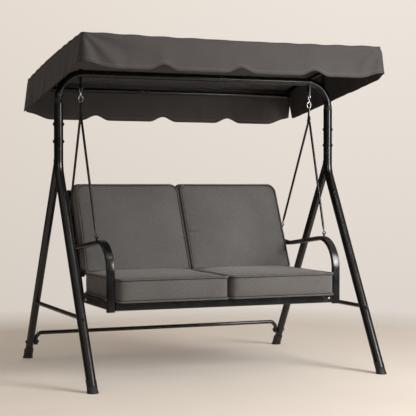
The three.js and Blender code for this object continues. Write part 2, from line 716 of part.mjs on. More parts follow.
// A wedge that opens the valance at a rear corner, pointed at its top.
function rearSlit(side) {
  const shape = new THREE.Shape();
  shape.moveTo(0, SLIT.apex);
  shape.lineTo(-SLIT.width / 2, HEM_BACK_Z - SLIT.overrun);
  shape.lineTo(SLIT.width / 2, HEM_BACK_Z - SLIT.overrun);
  const wedge = new THREE.ExtrudeGeometry(shape, { depth: SLIT.depth, bevelEnabled: false });
  const axes = new THREE.Matrix4().makeBasis(point(0, 1, 0), point(0, 0, 1), point(1, 0, 0));
  wedge.applyMatrix4(axes).translate(-SLIT.depth / 3, 0, 0);
  wedge.rotateZ(side > 0 ? HALF_TURN / 4 : (3 * HALF_TURN) / 4);
  wedge.translate(side * (COVER_HALF_WIDTH - COVER_CORNER), COVER_BACK_Y - COVER_CORNER, 0);
  return toSolid(wedge);
}

function canopyCover() {
  const shell = cut(coverShell(), ...Object.values(SIDES).map(rearSlit));
  return mesh("canopy_cover", shell, canopyCloth());
}

// ---------------------------------------------------------------- hangers

// A swivel hook: a fork with a pin above, and a long ring below.
function hangerHook(sideName) {
  const x = SIDES[sideName] * HANGER_X;
  const block = (offset, thick, wide, foot, top) =>
    boxSolid(
      point(x + offset - thick / 2, -wide / 2, HOOK_PIVOT_Z + foot),
      point(x + offset + thick / 2, wide / 2, HOOK_PIVOT_Z + top),
    );
  const { prong, bridge, pin, neck, ring } = HOOK;
  const prongs = [-prong.x, prong.x].map((at) => block(at, prong.thick, prong.wide, prong.foot, prong.top));
  const yokeBridge = block(0, bridge.wide, prong.wide, bridge.foot, bridge.top);
  const pinEnds = [-1, 1].map((end) => point(x + (end * pin.length) / 2, 0, HOOK_PIVOT_Z));
  const stem = [neck.foot, neck.top].map((rise) => point(x, 0, HOOK_PIVOT_Z + rise));
  const loop = new THREE.TorusGeometry(ring.radius, ring.wire, 6, 16);
  loop.rotateX(HALF_TURN / 2).scale(1, 1, ring.stretch).translate(x, 0, YOKE_PIVOT_Z + ring.rise);
  const hook = join(
    ...prongs,
    yokeBridge,
    straightRod(...pinEnds, pin.radius, 8),
    straightRod(...stem, neck.radius, 8),
    toSolid(loop),
  );
  return mesh(`hanger_hook_${sideName}`, hook, zincPlate());
}

// A flat yoke that hangs in the ring and spreads the two rods.
function hangerYoke(sideName) {
  const x = SIDES[sideName] * HANGER_X;
  const shape = new THREE.Shape();
  const { foot, waist, head, hole, thick, toeHeight, waistHeight } = YOKE;
  shape.moveTo(-foot, YOKE_FOOT_Z);
  shape.lineTo(foot, YOKE_FOOT_Z);
  shape.lineTo(foot, YOKE_FOOT_Z + toeHeight);
  shape.lineTo(waist, YOKE_FOOT_Z + waistHeight);
  shape.lineTo(head, YOKE_PIVOT_Z);
  shape.absarc(0, YOKE_PIVOT_Z, head, 0, HALF_TURN);
  shape.lineTo(-waist, YOKE_FOOT_Z + waistHeight);
  shape.lineTo(-foot, YOKE_FOOT_Z + toeHeight);
  shape.holes.push(new THREE.Path().absarc(0, YOKE_PIVOT_Z, hole, 0, 2 * HALF_TURN));
  return mesh(`hanger_yoke_${sideName}`, profileAcross(shape, x - thick / 2, x + thick / 2), satinBlack());
}

// The hole in a lug that a rod's ring passes through, centred on the foot of the ring.
function ringHole(side, eye) {
  const z = eye.z - ROD_RING.radius;
  const [from, to] = [-1, 1].map((end) => point(side * (EYE_X + end * 2 * LUG.thick), eye.y, z));
  return straightRod(from, to, ROD_RING.wire + 2);
}

// A rod from the yoke to an eye on the seat frame, with the eye's ring at its foot.
function hangerRod(sideName, end, eye) {
  const side = SIDES[sideName];
  const lean = end === "front" ? -1 : 1;
  const top = point(side * HANGER_X, lean * ROD_SPREAD_Y, YOKE_FOOT_Z - GAP - ROD_RADIUS / 2);
  const foot = point(side * EYE_X, eye.y, eye.z);
  const along = foot.clone().sub(top).normalize();
  const rodFoot = foot.clone().addScaledVector(along, -ROD_RING.radius);
  const ring = new THREE.TorusGeometry(ROD_RING.radius, ROD_RING.wire, 6, 16);
  ring.rotateX(HALF_TURN / 2).translate(foot.x, foot.y, foot.z);
  const rod = join(straightRod(top, rodFoot, ROD_RADIUS, 10), toSolid(ring));
  return mesh(`hanger_rod_${end}_${sideName}`, rod, satinBlack());
}

// ---------------------------------------------------------------- seat frame

const armPath = (side) => {
  const x = side * ARM_X;
  const endZ = ARM_DIP.z + ARM_REAR_RISE;
  return new BentPath(
    [
      point(x, ARM_FRONT_Y, ARM_FOOT_Z),
      point(x, ARM_FRONT_Y, ARM_CORNER_Z),
      point(x, ARM_DIP.y, ARM_DIP.z),
      point(x, backLeanY(endZ) + SECTION.corner, endZ),
    ],
    [ARM_BEND_RADIUS, ARM_DIP.radius],
    9,
  );
};

function armrest(sideName) {
  const side = SIDES[sideName];
  const run = toSolid(sweep(boxTubeSection(SECTION.thin, SECTION.wide), armPath(side)));
  const tube = cut(run, rodSolid(uprightPath(side), UPRIGHT_TUBE.radius + GAP, UPRIGHT_TUBE.sides));
  // The eye under the front rod: a small lug welded on the arm's outer side.
  const lug = sideBox(
    side,
    [EYE_X - LUG.thick / 2, EYE_X + LUG.thick / 2],
    [FRONT_EYE.y - LUG.halfWidth, FRONT_EYE.y + LUG.halfWidth],
    [FRONT_EYE.lugFoot, FRONT_EYE.z],
  );
  return mesh(`armrest_${sideName}`, join(tube, cut(lug, ringHole(side, FRONT_EYE))), satinBlack());
}

function railAlongX(name, y, halfLength, wall) {
  const path = new BentPath([point(-halfLength, y, SEAT_Z), point(halfLength, y, SEAT_Z)]);
  const rail = toSolid(sweep(boxTubeSection(SECTION.wide, SECTION.thin, wall), path));
  return mesh(name, rail, satinBlack());
}

function sideRail(sideName) {
  const x = SIDES[sideName] * SIDE_RAIL_X;
  const from = ARM_FRONT_Y + SECTION.thin / 2 + GAP;
  const to = REAR_RAIL_Y - SECTION.thin / 2 - GAP;
  const section = boxTubeSection(SECTION.thin, SECTION.wide);
  const options = { depth: to - from, bevelEnabled: false };
  const rail = new THREE.ExtrudeGeometry(section, options).rotateX(-HALF_TURN / 2).translate(x, from, SEAT_Z);
  return mesh(`side_rail_${sideName}`, toSolid(rail), satinBlack());
}

function uprightPath(side) {
  const foot = BACK_UPRIGHT_FOOT.z - UPRIGHT_TUBE.radius;
  const at = (z) => point(side * UPRIGHT_X, backLeanY(z), z);
  return new BentPath([at(foot), at(UPRIGHT_TOP_Z)]);
}

// A leaning post of the back, with the tab that takes the rear rod.
function backUpright(sideName) {
  const side = SIDES[sideName];
  const path = uprightPath(side);
  const tube = cut(tubeSolid(path, UPRIGHT_TUBE), slab(0, BACK_UPRIGHT_FOOT.z + GAP));
  const bore = rodSolid(path, UPRIGHT_TUBE.radius - UPRIGHT_TUBE.wall, UPRIGHT_TUBE.sides);
  const heights = [REAR_EYE.z - REAR_EYE.tabHeight, REAR_EYE.z];
  const outer = EYE_X + LUG.thick / 2;
  const root = backLeanY(REAR_EYE.z);
  const plate = sideBox(side, [outer - LUG.thick, outer], [REAR_EYE.y - LUG.halfWidth, root], heights);
  const web = sideBox(side, [UPRIGHT_X, outer], [root - 2 * LUG.thick, root], heights);
  const tab = cut(join(plate, web), bore, ringHole(side, REAR_EYE));
  return mesh(`back_upright_${sideName}`, join(tube, tab), satinBlack());
}

function backTopRail() {
  const reach = UPRIGHT_X - UPRIGHT_TUBE.radius - GAP;
  const y = backLeanY(BACK_RAIL_Z);
  const path = new BentPath([point(-reach, y, BACK_RAIL_Z), point(reach, y, BACK_RAIL_Z)]);
  return mesh("back_top_rail", tubeSolid(path, UPRIGHT_TUBE), satinBlack());
}

// Flat slats that cross each other, joined as one grid, lying in the X-Y plane.
function gridSolid(halfWidth, length) {
  const { across, along, width, thick } = SLATS;
  const slat = (fromX, toX, fromY, toY) =>
    boxSolid(point(fromX, fromY, -thick / 2), point(toX, toY, thick / 2));
  const slats = [];
  for (let i = 0; i < along; i++) {
    const x = THREE.MathUtils.lerp(-halfWidth + width, halfWidth - width, i / (along - 1));
    slats.push(slat(x - width / 2, x + width / 2, 0, length));
  }
  for (let i = 0; i < across; i++) {
    const y = (length * (i + 0.5)) / across;
    slats.push(slat(-halfWidth, halfWidth, y - width / 2, y + width / 2));
  }
  return join(...slats);
}

function seatGrid() {
  const from = ARM_FRONT_Y + SECTION.thin / 2 + GAP;
  const to = REAR_RAIL_Y - SECTION.thin / 2 - GAP;
  const halfWidth = SIDE_RAIL_X - SECTION.thin / 2 - GAP;
  const grid = mesh("seat_grid", gridSolid(halfWidth, to - from), satinBlack());
  grid.position.set(0, from, SEAT_Z + SECTION.wide / 2 - SLATS.thick);
  return grid;
}

function backWebbing() {
  const fromZ = BACK_UPRIGHT_FOOT.z + WEBBING_RISE;
  const length = (BACK_RAIL_Z - fromZ) / Math.cos(BACK_LEAN) - UPRIGHT_TUBE.radius - GAP;
  const halfWidth = UPRIGHT_X - UPRIGHT_TUBE.radius - GAP;
  const forward = UPRIGHT_TUBE.radius - SLATS.thick / 2; // its face is flush with the front of the uprights
  const webbing = mesh("back_webbing", gridSolid(halfWidth, length), blackWeb());
  webbing.rotation.x = HALF_TURN / 2 - BACK_LEAN;
  webbing.position.set(0, backLeanY(fromZ), fromZ);
  webbing.translateZ(forward);
  return webbing;
}

// ---------------------------------------------------------------- cushions

// A plain block with eased edges, from an outline in the Y-Z plane.
function cushionBlock(name, side, outline) {
  const bevel = CUSHION_BEVEL;
  const width = CUSHION_X.outer - CUSHION_X.inner - 2 * bevel;
  const shape = new THREE.Shape(outline.map(([y, z]) => new THREE.Vector2(y, z)));
  const edges = { bevelThickness: bevel, bevelSize: bevel, bevelOffset: -bevel, bevelSegments: 2 };
  const block = new THREE.ExtrudeGeometry(shape, { depth: width, ...edges });
  const axes = new THREE.Matrix4().makeBasis(point(0, 1, 0), point(0, 0, 1), point(1, 0, 0));
  const from = side > 0 ? CUSHION_X.inner + bevel : -CUSHION_X.outer + bevel;
  block.applyMatrix4(axes).translate(from, 0, 0);
  return mesh(name, toSolid(block), cushionCloth());
}

function seatCushion(sideName) {
  const { front, back, bottom, top, crown, ease } = SEAT_CUSHION;
  const crownFoot = BACK_CUSHION.front - CROWN_EDGE.clear;
  const outline = [
    [front + ease, bottom],
    [back - ease, bottom],
    [back, bottom + ease],
    [back, top - ease],
    [back - ease, top],
    [crownFoot, top],
    [crownFoot - CROWN_EDGE.back, crown],
    [front + CROWN_EDGE.front, crown],
    [front + ease, top],
    [front, top - ease],
    [front, bottom + ease],
  ];
  return cushionBlock(`seat_cushion_${sideName}`, SIDES[sideName], outline);
}

function backCushion(sideName) {
  const { front, bottom, top, thickness, ease } = BACK_CUSHION;
  const across = thickness / Math.cos(BACK_LEAN);
  const lean = (z) => front + (z - bottom) * Math.tan(BACK_LEAN);
  // Its back's upper edge is rounded off in two steps, and its front's in one.
  const outline = [
    [lean(bottom) + ease, bottom],
    [lean(bottom) + across - ease, bottom],
    [lean(bottom + ease) + across, bottom + ease],
    [lean(top - 2 * ease) + across, top - 2 * ease],
    [lean(top - ease) + across - ease / 2, top - ease],
    [lean(top) + across - 2 * ease, top],
    [lean(top) + ease / 2, top],
    [lean(top - ease), top - ease],
    [lean(bottom + ease), bottom + ease],
  ];
  return cushionBlock(`back_cushion_${sideName}`, SIDES[sideName], outline);
}

// ---------------------------------------------------------------- assembly

const bench = new THREE.Group();
bench.position.y = -(FRONT_FOOT_Y + REAR_FOOT_Y) / 2;

bench.add(topBar(), rearStretcher());
bench.add(canopyBar("canopy_front_bar", CANOPY_BAR_FRONT), canopyBar("canopy_rear_bar", CANOPY_BAR_REAR));
bench.add(canopyCover());
bench.add(railAlongX("front_rail", ARM_FRONT_Y, ARM_X - SECTION.wide / 2 - GAP, FRONT_RAIL_WALL));
bench.add(railAlongX("rear_rail", REAR_RAIL_Y, SIDE_RAIL_X + SECTION.thin / 2, SECTION.wall));
bench.add(backTopRail(), seatGrid(), backWebbing());

for (const sideName of Object.keys(SIDES)) {
  bench.add(...legs(sideName), ...footCaps(sideName), ...standBolts(sideName));
  bench.add(postCollar(sideName), sideBrace(sideName));
  bench.add(hangerBracket(sideName), canopyEar(sideName));
  bench.add(canopyArm(sideName), canopyPivotBolt(sideName), canopyKnob(sideName));
  bench.add(hangerHook(sideName), hangerYoke(sideName));
  bench.add(hangerRod(sideName, "front", FRONT_EYE), hangerRod(sideName, "rear", REAR_EYE));
  bench.add(armrest(sideName), sideRail(sideName), backUpright(sideName));
  bench.add(seatCushion(sideName), backCushion(sideName));
}

export default bench;
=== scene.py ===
import json
import math
import random

import bmesh
import bpy
from mathutils import Matrix, Vector
from mathutils import noise


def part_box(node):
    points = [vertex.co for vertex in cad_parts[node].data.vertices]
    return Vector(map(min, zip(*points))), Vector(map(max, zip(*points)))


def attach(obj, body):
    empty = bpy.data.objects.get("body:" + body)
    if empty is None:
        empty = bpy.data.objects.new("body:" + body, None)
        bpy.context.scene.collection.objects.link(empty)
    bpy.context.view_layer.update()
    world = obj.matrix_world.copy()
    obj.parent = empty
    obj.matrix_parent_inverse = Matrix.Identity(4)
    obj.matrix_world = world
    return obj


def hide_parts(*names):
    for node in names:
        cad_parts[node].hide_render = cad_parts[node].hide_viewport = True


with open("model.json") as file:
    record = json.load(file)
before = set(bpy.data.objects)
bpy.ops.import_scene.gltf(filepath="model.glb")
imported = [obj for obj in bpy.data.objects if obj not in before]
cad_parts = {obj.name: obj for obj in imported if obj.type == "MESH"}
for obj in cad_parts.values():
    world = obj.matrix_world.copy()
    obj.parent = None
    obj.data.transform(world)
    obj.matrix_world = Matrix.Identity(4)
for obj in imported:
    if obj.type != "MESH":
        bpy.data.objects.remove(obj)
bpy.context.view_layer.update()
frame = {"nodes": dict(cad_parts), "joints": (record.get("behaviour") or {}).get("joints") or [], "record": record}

SIDES = {"left": -1, "right": 1}
X_AXIS = Vector((1, 0, 0))
Y_AXIS = Vector((0, 1, 0))
Z_AXIS = Vector((0, 0, 1))

scene = bpy.context.scene
joints = {j["name"]: j for j in frame["joints"]}
mounts = {m["name"]: Vector(m["pos_m"]) for m in frame["record"]["mounts"]}


def middle(node):
    low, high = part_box(node)
    return (low + high) / 2


def size(node):
    low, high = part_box(node)
    return high - low


# ---------------------------------------------------------------- driving dimensions

PLANE_Y = joints["canopy_tilt"]["pos_m"][1]  # the plane of the two posts
PIVOT_Z = joints["canopy_tilt"]["pos_m"][2]

POST_X = mounts["foot_front_right"].x
FRONT_FOOT_Y = mounts["foot_front_right"].y
REAR_FOOT_Y = mounts["foot_rear_right"].y
POST_TOP_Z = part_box("front_leg_left")[1].z
FRONT_BEND_Z = 1.020
REAR_JOIN_Z = 1.075
LEG_BEND_RADIUS = 0.150
LEG_END_Z = 0.024
FRONT_LEG_RADIUS = size("front_leg_left").x / 2
REAR_LEG_RADIUS = size("rear_leg_left").x / 2

BAR_RADIUS = size("top_bar").y / 2
BAR_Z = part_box("top_bar")[1].z - BAR_RADIUS
BAR_END_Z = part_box("top_bar")[0].z
BAR_BEND_RADIUS = 0.130

HANGER_X = joints["hook_swing_right"]["pos_m"][0]
HOOK_PIVOT_Z = joints["hook_swing_right"]["pos_m"][2]
YOKE_PIVOT_Z = joints["seat_tilt"]["pos_m"][2]
YOKE_FOOT_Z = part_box("hanger_yoke_left")[0].z
ROD_RADIUS = 0.006
ROD_SPREAD_Y = 0.009
EYE_RING = {"radius": 0.008, "wire": 0.0024}

ARM_X = middle("armrest_right").x
ARM_FRONT_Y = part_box("armrest_right")[0].y + 0.010
ARM_FOOT_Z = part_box("armrest_right")[0].z
ARM_CORNER_Z = 0.683
ARM_BEND_RADIUS = 0.150
ARM_DIP = {"y": PLANE_Y + 0.165, "z": 0.622, "radius": 0.220}
ARM_SECTION = {"wide": 0.040, "thin": 0.020, "corner": 0.005}
FRONT_EYE = Vector((0, PLANE_Y - 0.208, 0.690))
REAR_EYE = Vector((0, PLANE_Y + 0.291, 0.720))
EYE_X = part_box("hanger_rod_front_right")[0].x + EYE_RING["radius"] + EYE_RING["wire"]
LUG = {"thick": 0.005, "half": 0.008, "hole": 0.0044}

BACK_LEAN = math.radians(25)
UPRIGHT_X = 0.582
UPRIGHT_RADIUS = 0.0125
UPRIGHT_FOOT = {"y": middle("rear_rail").y, "z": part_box("rear_rail")[1].z}
UPRIGHT_TOP_Z = 0.905
BACK_RAIL_Z = middle("back_top_rail").z
WEB_OFFSET = 0.011  # the belts' plane stands this far in front of the uprights' axes

COVER_HALF_WIDTH = 0.778
COVER_FRONT_Y = PLANE_Y - 0.520
COVER_BACK_Y = PLANE_Y + 0.525
COVER_FLARE = 0.020
COVER_CORNER = 0.022
CROWN = {"z": 1.577, "slope": -0.134, "sag": 0.048}
HEM_FRONT_Z = 1.470
HEM_BACK_Z = 1.292
HEM_CORNER = {"front": 1.497, "back": 1.325}
HEM_SIDE_FRONT_Z = 1.482
NOTCH = {"height": 0.027, "half_width": 0.078, "spacing": 0.390}
SLIT = {"apex": 1.398, "width": 0.034}
COVER_THICK = 0.0016
COVER_DROP = {"front": 0.16, "back": 0.20, "side": 0.17, "mean": 0.172}  # along the cloth, for its flat size
COVER_BOW = 1.01  # length of the bowed top over its depth

BELT = {"width": 0.040, "thick": 0.0016, "ups": 7, "crosses": 3}
# a pad's corner radii at each end, how far its sides pull in, the simulation's cap and pressure, how firmly
# its underside is held, and how full it is
SEAT_PAD = dict(corner=(0.030, 0.016), pull=0.003, cap=0.019, pressure=5.0, floor=0.6, fill=0.85)
BACK_PAD = dict(corner=(0.012, 0.042), pull=0.001, cap=0.030, pressure=4.5, floor=0.5, fill=0.75)
PAD_CLOTH = dict(
    quality=6,
    mass=0.25,
    tension_stiffness=22,
    compression_stiffness=18,
    shear_stiffness=10,
    bending_stiffness=0.9,
    shrink_min=-0.012,
    pin_stiffness=3,
)
BACK_PAD_THICK = 0.0985
# the last entry is the radius of the near-black cords beside the piping, which paint the seam's shadow
PIPING = {"cord": 0.0042, "out": 0.0018, "seam_shadow": 0.0022}
KNOB = {"lobes": 5, "radius": 0.0102, "lobe": 0.0009, "around": 80}

CAMERA = {"place": (-2.33, -5.8355, 0.94), "look": (0.3795, 0.9252, 0), "pitch": 1.09, "lens": 104.6}
WARM_WHITE = (1.0, 0.985, 0.96)
LIGHTS = (  # name, place, target, width, watts, spread in degrees
    ("key", (2.5, -3.9, 2.7), (0, 0, 0.6), 2.2, 195, 180),
    ("kicker", (1.6, -2.3, 1.15), (0.42, 0.15, 0.72), 0.9, 3.2, 55),
    ("glint", (0.6, -2.2, 3.6), (0, -0.3, 0.6), 0.3, 6, 180),
    ("fill", (-3.0, -6.0, 3.4), (0, 0, 0.8), 2.6, 45, 180),
)
FLOOR = {"radius": 3.4, "fade_from": 1.9, "fade_to": 3.1, "glow": 0.085}
DOME_RADIUS = 24


def lerp(a, b, t):
    return a + (b - a) * t


def smooth(low, high, value):
    t = min(1.0, max(0.0, (value - low) / (high - low)))
    return t * t * (3 - 2 * t)


def lean_y(z):
    """Y of the back uprights' axis at a height."""
    return UPRIGHT_FOOT["y"] + (z - UPRIGHT_FOOT["z"]) * math.tan(BACK_LEAN)


def front_leg_y(z):
    return lerp(FRONT_FOOT_Y, PLANE_Y, z / FRONT_BEND_Z)


def rear_leg_y(z):
    return lerp(REAR_FOOT_Y, PLANE_Y, z / REAR_JOIN_Z)


# ---------------------------------------------------------------- camera, lights and stage

ZENITH = (0.62, 0.545, 0.47, 1)
HORIZON = (0.060, 0.052, 0.045, 1)
WALL_LEFT = (0.775, 0.700, 0.630, 1)
WALL_RIGHT = (0.860, 0.790, 0.722, 1)
FLOOR_GLOW = (1.0, 0.92, 0.83, 1)  # stands for the light that a large pale studio throws back


def make_camera():
    data = bpy.data.cameras.new("camera")
    data.lens = CAMERA["lens"]
    data.sensor_width = 36
    data.clip_end = 60
    camera = bpy.data.objects.new("camera", data)
    scene.collection.objects.link(camera)
    camera.location = CAMERA["place"]
    pitch = math.radians(CAMERA["pitch"])
    level = Vector(CAMERA["look"]).normalized() * math.cos(pitch)
    look = level - Z_AXIS * math.sin(pitch)
    camera.rotation_mode = "QUATERNION"
    camera.rotation_quaternion = look.to_track_quat("-Z", "Y")
    scene.camera = camera


def make_light(name, place, target, width, watts, spread):
    data = bpy.data.lights.new(name, "AREA")
    data.shape = "DISK"
    data.size = width
    data.energy = watts
    data.color = WARM_WHITE
    data.spread = math.radians(spread)
    lamp = bpy.data.objects.new(name, data)
    scene.collection.objects.link(lamp)
    lamp.location = place
    lamp.visible_camera = False
    lamp.rotation_mode = "QUATERNION"
    lamp.rotation_quaternion = (Vector(target) - Vector(place)).to_track_quat("-Z", "Y")


def make_world():
    """A soft studio: bright overhead and dim at the height of the object."""
    world = bpy.data.worlds.new("studio")
    world.use_nodes = True
    tree = world.node_tree
    height = tree.nodes.new("ShaderNodeSeparateXYZ")
    tree.links.new(tree.nodes.new("ShaderNodeTexCoord").outputs["Generated"], height.inputs[0])
    ramp = tree.nodes.new("ShaderNodeMapRange")
    ramp.interpolation_type = "SMOOTHSTEP"
    ramp.inputs["From Min"].default_value = 0.25
    ramp.inputs["From Max"].default_value = 0.95
    tree.links.new(height.outputs[2], ramp.inputs["Value"])
    mix = tree.nodes.new("ShaderNodeMix")
    mix.data_type = "RGBA"
    tree.links.new(ramp.outputs[0], mix.inputs[0])
    mix.inputs[6].default_value = HORIZON
    mix.inputs[7].default_value = ZENITH
    tree.links.new(mix.outputs[2], tree.nodes["Background"].inputs["Color"])
    scene.world = world
    scene.view_settings.view_transform = "Standard"


# ---------------------------------------------------------------- materials


class Nodes:
    """A material's node tree, written as short expressions."""

    def __init__(self, name):
        self.material = bpy.data.materials.new(name)
        self.material.use_nodes = True
        self.tree = self.material.node_tree
        self.shader = self.tree.nodes["Principled BSDF"]

    def add(self, kind, inputs=(), **settings):
        made = self.tree.nodes.new(kind)
        for key, value in settings.items():
            setattr(made, key, value)
        for key, value in dict(inputs).items():
            self.set(made.inputs[key], value)
        return made

    def set(self, socket, value):
        if isinstance(value, bpy.types.NodeSocket):
            self.tree.links.new(value, socket)
        else:
            socket.default_value = value

    def math(self, operation, *values, clamp=False):
        inputs = {i: v for i, v in enumerate(values)}
        return self.add("ShaderNodeMath", inputs, operation=operation, use_clamp=clamp).outputs[0]

    def scaled(self, vector, factors):
        made = self.add("ShaderNodeMapping", {"Vector": vector, "Scale": factors})
        return made.outputs[0]

    def noise(self, vector, scale, detail=3.0, roughness=0.55):
        inputs = {"Vector": vector, "Scale": scale, "Detail": detail, "Roughness": roughness}
        return self.add("ShaderNodeTexNoise", inputs).outputs["Fac"]

    def ramp(self, value, low, high, to_low, to_high):
        inputs = {"Value": value, 1: low, 2: high, 3: to_low, 4: to_high}
        return self.add("ShaderNodeMapRange", inputs).outputs[0]

    def blend(self, factor, first, second):
        made = self.add("ShaderNodeMix", {0: factor, 6: first, 7: second}, data_type="RGBA")
        return made.outputs[2]

    def bump(self, height, distance, strength=1.0, after=None):
        inputs = {"Height": height, "Distance": distance, "Strength": strength}
        made = self.add("ShaderNodeBump", inputs)
        if after is not None:
            self.set(made.inputs["Normal"], after)
        return made.outputs[0]

    def surface(self, **values):
        for key, value in values.items():
            self.set(self.shader.inputs[key.replace("_", " ").title()], value)
        return self.material

    def constants(self, **values):
        for key, value in values.items():
            self.shader.inputs[key.replace("_", " ")].default_value = value

    def place(self):
        return self.add("ShaderNodeTexCoord").outputs["Object"]


def grey(value, warmth=0.0):
    return (value * (1 + warmth), value, value * (1 - warmth), 1)


def powder_coat():
    """Satin black powder coat: a fine orange peel, faint dust and thin wear."""
    n = Nodes("satin_black_powder_coat")
    at = n.place()
    peel = n.noise(at, 900, 2.0)
    cloud = n.noise(at, 14, 4.0)
    fleck = n.noise(at, 260, 2.0)
    worn = n.ramp(n.math("MULTIPLY", fleck, cloud), 0.36, 0.44, 0.0, 1.0)
    base = n.blend(n.ramp(cloud, 0.35, 0.7, 0, 1), grey(0.0040, -0.10), grey(0.0075, -0.05))
    colour = n.blend(n.math("MULTIPLY", worn, 0.35), base, grey(0.03))
    rough = n.ramp(cloud, 0.3, 0.7, 0.19, 0.29)
    normal = n.bump(peel, 0.00012, 0.5)
    return n.surface(base_color=colour, roughness=rough, normal=normal)


def moulded_plastic():
    n = Nodes("moulded_black_plastic")
    at = n.place()
    grain = n.noise(at, 1400, 2.0)
    cloud = n.noise(at, 30, 3.0)
    colour = n.blend(cloud, grey(0.006), grey(0.012))
    rough = n.ramp(cloud, 0.3, 0.7, 0.48, 0.62)
    return n.surface(base_color=colour, roughness=rough, normal=n.bump(grain, 0.0001, 0.6))


def zinc_plate():
    n = Nodes("bright_zinc_plate")
    at = n.place()
    spangle = n.noise(at, 220, 4.0)
    brushed = n.noise(n.scaled(at, (300, 300, 3000)), 1.0, 2.0)
    colour = n.blend(spangle, (0.58, 0.57, 0.54, 1), (0.82, 0.81, 0.78, 1))
    rough = n.ramp(spangle, 0.3, 0.7, 0.16, 0.34)
    n.constants(Metallic=1.0)
    return n.surface(base_color=colour, roughness=rough, normal=n.bump(brushed, 0.00004, 0.5))


def cloth_plane(n):
    """Two coordinates along the cloth, in metres, chosen by the way the surface faces."""
    coordinates = n.add("ShaderNodeTexCoord")
    at = n.add("ShaderNodeSeparateXYZ", {0: coordinates.outputs["Object"]}).outputs
    facing = n.add("ShaderNodeSeparateXYZ", {0: coordinates.outputs["Normal"]}).outputs
    x, y, z = [n.math("ABSOLUTE", side) for side in facing]
    is_z = n.math("GREATER_THAN", z, n.math("MAXIMUM", x, y))
    is_x = n.math("MULTIPLY", n.math("GREATER_THAN", x, y), n.math("SUBTRACT", 1.0, is_z))
    across = n.math("MULTIPLY_ADD", is_x, n.math("SUBTRACT", at[1], at[0]), at[0])
    along = n.math("MULTIPLY_ADD", is_z, n.math("SUBTRACT", at[1], at[2]), at[2])
    return across, along


def uv_plane(n):
    uv = n.add("ShaderNodeUVMap", uv_map="cloth").outputs[0]
    both = n.add("ShaderNodeSeparateXYZ", {0: uv}).outputs
    return both[0], both[1]


def woven(n, plane, thread, dark, light, shade_scale=5.0, melange_scale=210):
    """A plain weave of threads a given width apart. Gives its colour and its bump."""
    across, along = plane
    turn = math.pi / thread
    warp = n.math("SINE", n.math("MULTIPLY", across, turn))
    weft = n.math("SINE", n.math("MULTIPLY", along, turn))
    over = n.math("MULTIPLY_ADD", n.math("MULTIPLY", warp, weft), 0.5, 0.5)
    flat = n.add("ShaderNodeCombineXYZ", {0: across, 1: along}).outputs[0]
    slub_warp = n.noise(n.scaled(flat, (620, 60, 1)), 1.0, 2.0)
    slub_weft = n.noise(n.scaled(flat, (60, 620, 1)), 1.0, 2.0)
    slub = n.math("MULTIPLY_ADD", slub_warp, 0.4, n.math("MULTIPLY", slub_weft, 0.6))
    melange = n.noise(flat, melange_scale, 2.0, 0.75)
    shade = n.noise(flat, shade_scale, 3.0)
    tone = n.math("MULTIPLY_ADD", slub, 0.42, n.math("MULTIPLY", melange, 0.43))
    tone = n.math("ADD", tone, n.math("MULTIPLY", shade, 0.15))
    tone = n.ramp(tone, 0.38, 0.62, 0.0, 1.0)
    tone = n.math("MULTIPLY_ADD", over, 0.2, n.math("MULTIPLY", tone, 0.8))
    colour = n.blend(tone, dark, light)
    relief = n.math("MULTIPLY_ADD", slub, 0.6, n.math("MULTIPLY", over, 0.7))
    return colour, n.bump(relief, thread * 0.45, 0.65), tone


def cushion_cloth(name="charcoal_canvas", thread=0.0012, depth=1.0):
    """Yarn-dyed charcoal canvas. A depth under 1 darkens it."""
    n = Nodes(name)
    dark = (0.066 * depth, 0.0615 * depth, 0.0595 * depth, 1)
    light = (0.168 * depth, 0.159 * depth, 0.155 * depth, 1)
    colour, normal, tone = woven(n, cloth_plane(n), thread, dark, light)
    n.constants(Sheen_Weight=0.25, Sheen_Roughness=0.45, Sheen_Tint=(0.8, 0.77, 0.75, 1))
    n.constants(Specular_IOR_Level=0.22)
    rough = n.ramp(tone, 0, 1, 0.96, 0.84)
    return n.surface(base_color=colour, roughness=rough, normal=normal)


def canopy_cloth():
    """Coated polyester with a double row of stitches above the hem."""
    n = Nodes("coated_canopy_cloth")
    plane = uv_plane(n)
    colour, normal, tone = woven(n, plane, 0.0009, (0.046, 0.0405, 0.039, 1), (0.078, 0.069, 0.067, 1), 7.0)
    rows = []
    for above_hem in (0.016, 0.019):
        off = n.math("ABSOLUTE", n.math("SUBTRACT", plane[1], above_hem))
        near = n.math("LESS_THAN", off, 0.0005)
        dash = n.math("LESS_THAN", n.math("FRACT", n.math("DIVIDE", plane[0], 0.0042)), 0.68)
        rows.append(n.math("MULTIPLY", near, dash))
    stitch = n.math("MAXIMUM", *rows)
    colour = n.blend(stitch, colour, grey(0.13, 0.04))
    normal = n.bump(stitch, 0.0005, 0.8, after=normal)
    n.constants(Sheen_Weight=0.12, Sheen_Roughness=0.4, Specular_IOR_Level=0.35)
    rough = n.ramp(tone, 0, 1, 0.74, 0.60)
    return n.surface(base_color=colour, roughness=rough, normal=normal)


